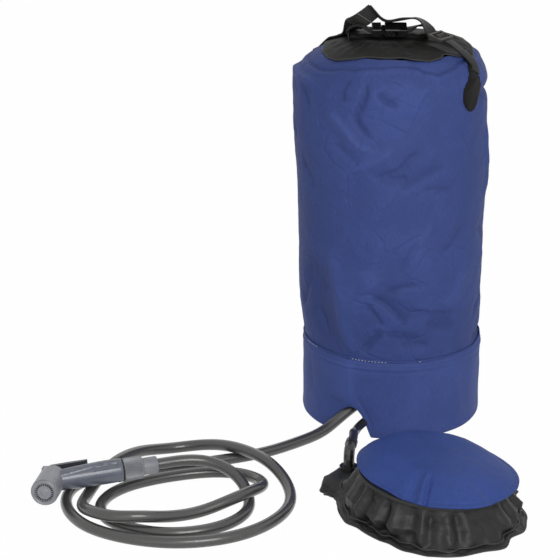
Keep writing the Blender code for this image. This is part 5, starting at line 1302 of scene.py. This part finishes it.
class SHOWER_OT_bellows(bpy.types.Operator):
    """Make the pump's gathered bellows, its piping and the spring inside"""
    bl_idname = "shower.bellows"
    bl_label = "Bellows"

    def execute(self, context):
        def place(across, along):
            degrees = 360.0 * across
            places, folds = bellows_place(degrees, along)
            return places, np.stack((np.radians(degrees) * 0.095, along * 0.055), axis=1), folds

        bm = sheet_mesh(420, 60, place, True, PUMP)
        face_out(bm, PUMP + Vector((0.0, 0.0, 0.01)))
        made = piece("bellows_cloth", bm, pump_cloth(), None, ("pump_bellows",))
        thicken(made, sizes().cloth * 0.8)
        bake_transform(made)
        degrees = np.linspace(0.0, 360.0, 300, endpoint=False)
        turn = np.radians(degrees)
        row = 0.185 + 0.012 * np.sin(turn * 9.0) + 0.010 * np.sin(turn * 23.0 + 1.0)
        row += 0.05 * around(PORT_LOBE, degrees)
        for name, at, spread, size in (("bellows_piping", row, 1.010, 0.0009),
                                       ("hem_binding", np.full(300, 0.004), 1.0, 0.0008)):
            rim = bellows_place(degrees, at)[0] * (spread, spread, 1.0)
            tube(name, rim + np.array(PUMP), size, pump_piping(), "bag", (), 2, True)

        steps = SPRING_STEPS * SPRING_TURNS
        angle = np.linspace(0.0, SPRING_TURNS * FULL_TURN, steps + 1)
        under = math.tan(TREAD_TILT) * (SPRING_R * np.cos(angle) + SPRING_WIRE)
        top = TREAD_Z - under - SPRING_WIRE - 0.0004
        rise = (top - SPRING_FOOT) * np.linspace(0.0, 1.0, steps + 1)
        path = polar(SPRING_R, angle, SPRING_FOOT + rise)

        def coil(across, along):
            spots, tangents = rows_at(along, path, np.gradient(path, axis=0))
            tangents = unit(tangents)
            sides = unit(np.cross(tangents, (0.0, 0.0, 1.0)))
            ups = np.cross(sides, tangents)
            bend = (FULL_TURN * across)[:, None]
            wire = np.where((along < 0.001) | (along > 0.999), 0.0, SPRING_WIRE)[:, None]
            spots = spots + (sides * np.cos(bend) + ups * np.sin(bend)) * wire
            return spots, np.stack((across * 0.01, along), axis=1), np.zeros(len(across))

        made = piece("spring_wire", sheet_mesh(10, steps, coil, True, PUMP), steel(), None,
                     ("pump_spring",))
        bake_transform(made)
        return {"FINISHED"}


class SHOWER_OT_tread(bpy.types.Operator):
    """Make the padded tread"""
    bl_idname = "shower.tread"
    bl_label = "Tread pad"

    def execute(self, context):
        crown = sizes().crown * 1000.0

        def place(across, along):
            degrees = 360.0 * across - 180.0
            turn = np.radians(degrees)
            rim = around(PAD_RIM, degrees)
            stops = (0.0, 0.22, 0.27, PAD_EDGE, 0.36, 1.0)
            out = np.interp(along, stops, (0.0, 0.93, 0.985, 1.0, 0.975, 0.0))
            upper = np.clip((along - PAD_EDGE) / (1.0 - PAD_EDGE), 0.0, 1.0)
            out = np.where(along > PAD_EDGE, 1.0 - upper ** 1.15, out)
            back = eased((np.cos(turn - math.radians(118.0)) + 0.25) / 1.1)
            dome = PAD_LIP + (crown - PAD_LIP) * (1.0 - out ** (2.3 + 3.0 * back))
            dome += 3.0 * back * eased((out - 0.3) / 0.5) * (1.0 - out ** 9.0)
            under = np.interp(along, stops, (0.0, 0.1, 0.5, PAD_LIP, PAD_LIP, PAD_LIP))
            height = np.where(along > PAD_EDGE, dome, under)
            top = eased((along - 0.30) / 0.05)
            per_degree = math.radians(1.0) * rim * out
            for middle, start, depth, width, skew in PAD_CREASES:
                off = (degrees - middle - skew * (1.0 - out)) * per_degree
                off = np.where(np.abs(off) > 180.0 * per_degree, 99.0, off)
                height -= top * depth * bell(off, width) * eased((out - start) / 0.4)
            height -= top * 0.8 * bell(out - 0.945, 0.010)
            pucker = (np.abs(np.sin(turn * 26.0 + np.sin(turn * 4.0) * 2.0)) - 0.5) * 0.5
            pucker *= eased((out - 0.86) / 0.12)
            height += top * pucker
            spots = polar(rim * out + 0.5 * bell(along - PAD_EDGE, 0.012), turn, height) * MM
            creases = crumple(spots, 34.0, 9.0)
            spots[:, 2] += top * creases * 0.8 * MM * (0.4 + 0.6 * out) + PLATE_TOP
            folds = creases * 0.35 + pucker - 0.5 * bell(along - 0.335, 0.01)
            return in_frame(TREAD, spots), spots[:, :2], folds

        made = piece("tread_pad", sheet_mesh(300, 90, place, True, (0.0, 0.0, 0.0)), tread_cloth(),
                     "tread", ("tread_cover",))
        return {"FINISHED"}


def ring_on_grip(name, node, mount, profile, sides, flutes=0, depth=0.0):
    """A moulded ring on the handle's axis, with flutes cut into its widest part."""
    bm = spun(profile, sides)
    widest = max(radius for radius, height in profile)
    for vert in bm.verts:
        reach = vert.co.xy.length
        if flutes and reach > widest * 0.965:
            wave = 0.5 - 0.5 * math.cos(flutes * math.atan2(vert.co.y, vert.co.x))
            vert.co.xy = vert.co.xy * (1.0 - depth / reach * wave ** 0.7)
    bm.transform(GRIP)
    return piece(name, bm, plastic("nut", 0.42, 1200.0, 0.00005, 0.05), mount, (node,), 34.0)


class SHOWER_OT_handle(bpy.types.Operator):
    """Make the handset's handle, its turning nut, its hose tail, and dark drops that paint the shade in the holes of
    its spray plate
    """
    bl_idname = "shower.handle"
    bl_label = "Handle and nut"

    def execute(self, context):
        knots = np.array(HANDLE_LINE)

        def place(across, along):
            turn = FULL_TURN * across
            end_face = along > 0.9
            z = np.where(end_face, HANDLE_L, along / 0.9 * HANDLE_L)
            radius = np.where(end_face, 11.0 + (8.2 - 11.0) * (along - 0.9) / 0.1,
                              np.interp(z, knots[:, 0], knots[:, 1]))
            degrees = np.degrees(turn)
            rib = eased((13.0 - apart(degrees, 180.0)) / 4.0)
            push = 0.7 * rib * eased((z - 8.0) / 10.0) * eased((HANDLE_L - z) / 3.0)
            for middle, spread, start, end, depth in HOLLOWS:
                lane = eased((spread - apart(degrees, middle)) / 5.0)
                push += depth * lane * eased((z - start) / 7.0) * eased((end - z) / 2.2)
            for middle, slant in SLANTS:
                ridge = bell(apart(degrees - (z - 40.0) * slant, middle), 3.4)
                push += 0.7 * ridge * eased((z - 6.0) / 8.0) * eased((74.0 - z) / 8.0)
            radius = radius * (1.0 + 0.035 * np.cos(2.0 * turn)) + push * ~end_face
            return (in_frame(GRIP, polar(radius, turn, z) * MM), np.stack((across * 0.07, z * MM), axis=1),
                    push * 0.4)

        made = piece("handle_grip", sheet_mesh(144, 120, place, True, (0.0, 0.0, 0.0)),
                     plastic("handle", 0.34, 1100.0, 0.00004, 0.25), "bag",
                     ("handle_shell",), 40.0)
        thicken(made, 0.0016)

        body = HANDLE_L * MM
        start = body + 0.0003
        lip = start + 0.0180
        end = start + 0.0210
        ring_on_grip("fluted_nut", "hose_nut", "nut", (
            (0.0087, start), (0.0113, start), (0.0121, start + 0.0008), (0.0124, start + 0.0018),
            (0.0124, end - 0.0018), (0.0122, end - 0.0008), (0.0114, end), (0.0070, end), (0.0070, lip),
            (0.0087, lip)), 252, 42, 0.0010)
        ring = end + 0.0003
        tail = ring - 0.0200
        made = ring_on_grip("tail_ring", "hose_tail", "bag", (
            (0.0036, tail), (0.0080, tail), (0.0080, tail + 0.0028), (0.0062, tail + 0.0028), (0.0062, ring),
            (0.0086, ring), (0.0093, ring + 0.0006), (0.0093, ring + 0.0155), (0.0089, ring + 0.0163),
            (0.0064, ring + 0.0165), (0.0064, ring + 0.0060), (0.0036, ring + 0.0060)), 14)
        soften(made, 0.0003, 40.0)
        # a dark rubber ring at the joint of handle and nut: painted shade standing in for the shaded gap there
        turn = np.linspace(0.0, FULL_TURN, 48, endpoint=False)
        seam = polar(0.0118, turn, np.full(48, body - 0.0003))
        tube("handle_seam", in_frame(GRIP, seam), 0.0008, rubber_and_painted_shade(), "bag", (), 4, True)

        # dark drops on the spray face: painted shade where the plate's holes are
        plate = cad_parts["spray_plate"]
        to_head = HEAD.inverted() @ plate.matrix_world
        spots = [to_head @ vert.co for vert in plate.data.vertices]
        centre = Vector((sum(spot.x for spot in spots), sum(spot.y for spot in spots), 0.0)) / len(spots)
        centre.z = max(spot.z for spot in spots if 0.0070 < (spot.xy - centre.xy).length < 0.0100)
        bm = bmesh.new()
        for index in range(SPRAY_HOLES):
            spin = Matrix.Rotation(FULL_TURN * index / SPRAY_HOLES, 4, "Z")
            place = HEAD @ Matrix.Translation(centre) @ spin @ Matrix.Translation((SPRAY_R, 0.0, 0.0))
            bmesh.ops.create_uvsphere(bm, u_segments=8, v_segments=6, radius=1.0,
                                      matrix=place @ Matrix.Diagonal((*SPRAY_HALVES, 1.0)))
        piece("spray_holes", bm, rubber_and_painted_shade(), "bag")
        return {"FINISHED"}


class SHOWER_OT_rigid(bpy.types.Operator):
    """Finish the moulded and metal parts that keep their CAD shape"""
    bl_idname = "shower.rigid"
    bl_label = "Moulded parts"

    def execute(self, context):
        dress(plastic("head", 0.40, 1300.0, 0.00004, 0.10), "head_shell", "head_cap", "bezel", "spray_plate")
        dress(plastic("lever", 0.36, 1000.0, 0.00005, 0.15), "trigger_lever", "valve_plunger")
        dress(plastic("buckle", 0.16, 1400.0, 0.00002, 1.0, 3.0), "buckle_socket", "buckle_plug",
              "buckle_prong_front", "buckle_prong_rear")
        dress(plastic("slider", 0.62, 1200.0, 0.00004), "strap_slider")
        dress(plastic("fitting", 0.38, 1000.0, 0.00005, 0.2, 2.2), "inlet_elbow", "inlet_ferrule", "inlet_nut",
              "outlet_elbow", "outlet_ferrule", "outlet_nut", "port_elbow", "port_ferrule", "pump_base")
        dress(rubber_and_painted_shade(), "pump_top_plate", "inlet_gasket", "outlet_gasket", "port_gasket", "nut_washer",
              "plunger_seal")
        dress(steel(), "lever_pin")
        return {"FINISHED"}


class SHOWER_OT_stage(bpy.types.Operator):
    """Set the floor, the lamps, the world and the view"""
    bl_idname = "shower.stage"
    bl_label = "Stage"

    def execute(self, context):
        white = (1.0, 1.0, 1.0)
        bm = bmesh.new()
        bmesh.ops.create_grid(bm, x_segments=1, y_segments=1, size=4.0)
        mesh = bpy.data.meshes.new("floor")
        bm.to_mesh(mesh)
        bm.free()
        floor = Finish("pale_floor", 0.8)
        floor.put("Base Color", (0.90, 0.90, 0.90))
        glow = floor.node("ShaderNodeEmission", sockets={"Color": white, "Strength": 1.0})
        floor.show(floor.seen() * 0.985, Wire(floor, floor.shader.outputs[0]), glow, "Material Output")
        mesh.materials.append(floor.material)
        made = bpy.data.objects.new("floor", mesh)
        context.scene.collection.objects.link(made)

        world = bpy.data.worlds.new("studio")
        world.use_nodes = True
        sky = Nodes(world.node_tree)
        light = sky.tree.nodes["Background"]
        sky.feed(light.inputs["Color"], white)
        sky.feed(light.inputs["Strength"], sizes().sky)
        paper = sky.node("ShaderNodeBackground", sockets={"Color": white, "Strength": 1.0})
        sky.show(sky.seen(), Wire(sky, light.outputs[0]), paper, "World Output")
        context.scene.world = world

        aim = BAG + Vector(LAMPS_AIM)
        for name, place, size, power in LAMPS:
            data = bpy.data.lights.new(name, "AREA")
            data.shape = "SQUARE"
            data.size = size
            data.energy = power * sizes().lamp
            made = bpy.data.objects.new(name, data)
            made.location = BAG + Vector(place)
            made.rotation_euler = (aim - made.location).to_track_quat("-Z", "Y").to_euler()
            context.scene.collection.objects.link(made)
        context.scene.view_settings.view_transform = "Standard"
        return {"FINISHED"}


STEPS = (
    SHOWER_OT_camera, SHOWER_OT_hoses, SHOWER_OT_tank, SHOWER_OT_skirt, SHOWER_OT_seam, SHOWER_OT_collar,
    SHOWER_OT_roll, SHOWER_OT_straps, SHOWER_OT_patches, SHOWER_OT_bellows, SHOWER_OT_tread, SHOWER_OT_handle,
    SHOWER_OT_rigid, SHOWER_OT_stage,
)


class SHOWER_PT_panel(bpy.types.Panel):
    """Lists the steps that dress the shower bag"""
    bl_idname = "SHOWER_PT_panel"
    bl_label = "Shower Bag"
    bl_space_type = "VIEW_3D"
    bl_region_type = "UI"
    bl_category = "Shower Bag"

    def draw(self, context):
        for group in (context.scene.shower_sizes, context.scene.shower_colours):
            box = self.layout.box()
            for key in group.__annotations__:
                box.prop(group, key)
        for step in STEPS:
            self.layout.operator(step.bl_idname)


CLASSES = (ShowerColours, ShowerSizes, *STEPS, SHOWER_PT_panel)


def register():
    for item in CLASSES:
        bpy.utils.register_class(item)
    bpy.types.Scene.shower_colours = bpy.props.PointerProperty(type=ShowerColours)
    bpy.types.Scene.shower_sizes = bpy.props.PointerProperty(type=ShowerSizes)


def unregister():
    del bpy.types.Scene.shower_sizes
    del bpy.types.Scene.shower_colours
    for item in reversed(CLASSES):
        bpy.utils.unregister_class(item)


def main():
    register()
    bpy.ops.shower.camera()
    bpy.ops.shower.hoses()
    bpy.ops.shower.tank()
    bpy.ops.shower.skirt()
    bpy.ops.shower.seam()
    bpy.ops.shower.collar()
    bpy.ops.shower.roll()
    bpy.ops.shower.straps()
    bpy.ops.shower.patches()
    bpy.ops.shower.bellows()
    bpy.ops.shower.tread()
    bpy.ops.shower.handle()
    bpy.ops.shower.rigid()
    bpy.ops.shower.stage()


if __name__ == "__main__":
    main()
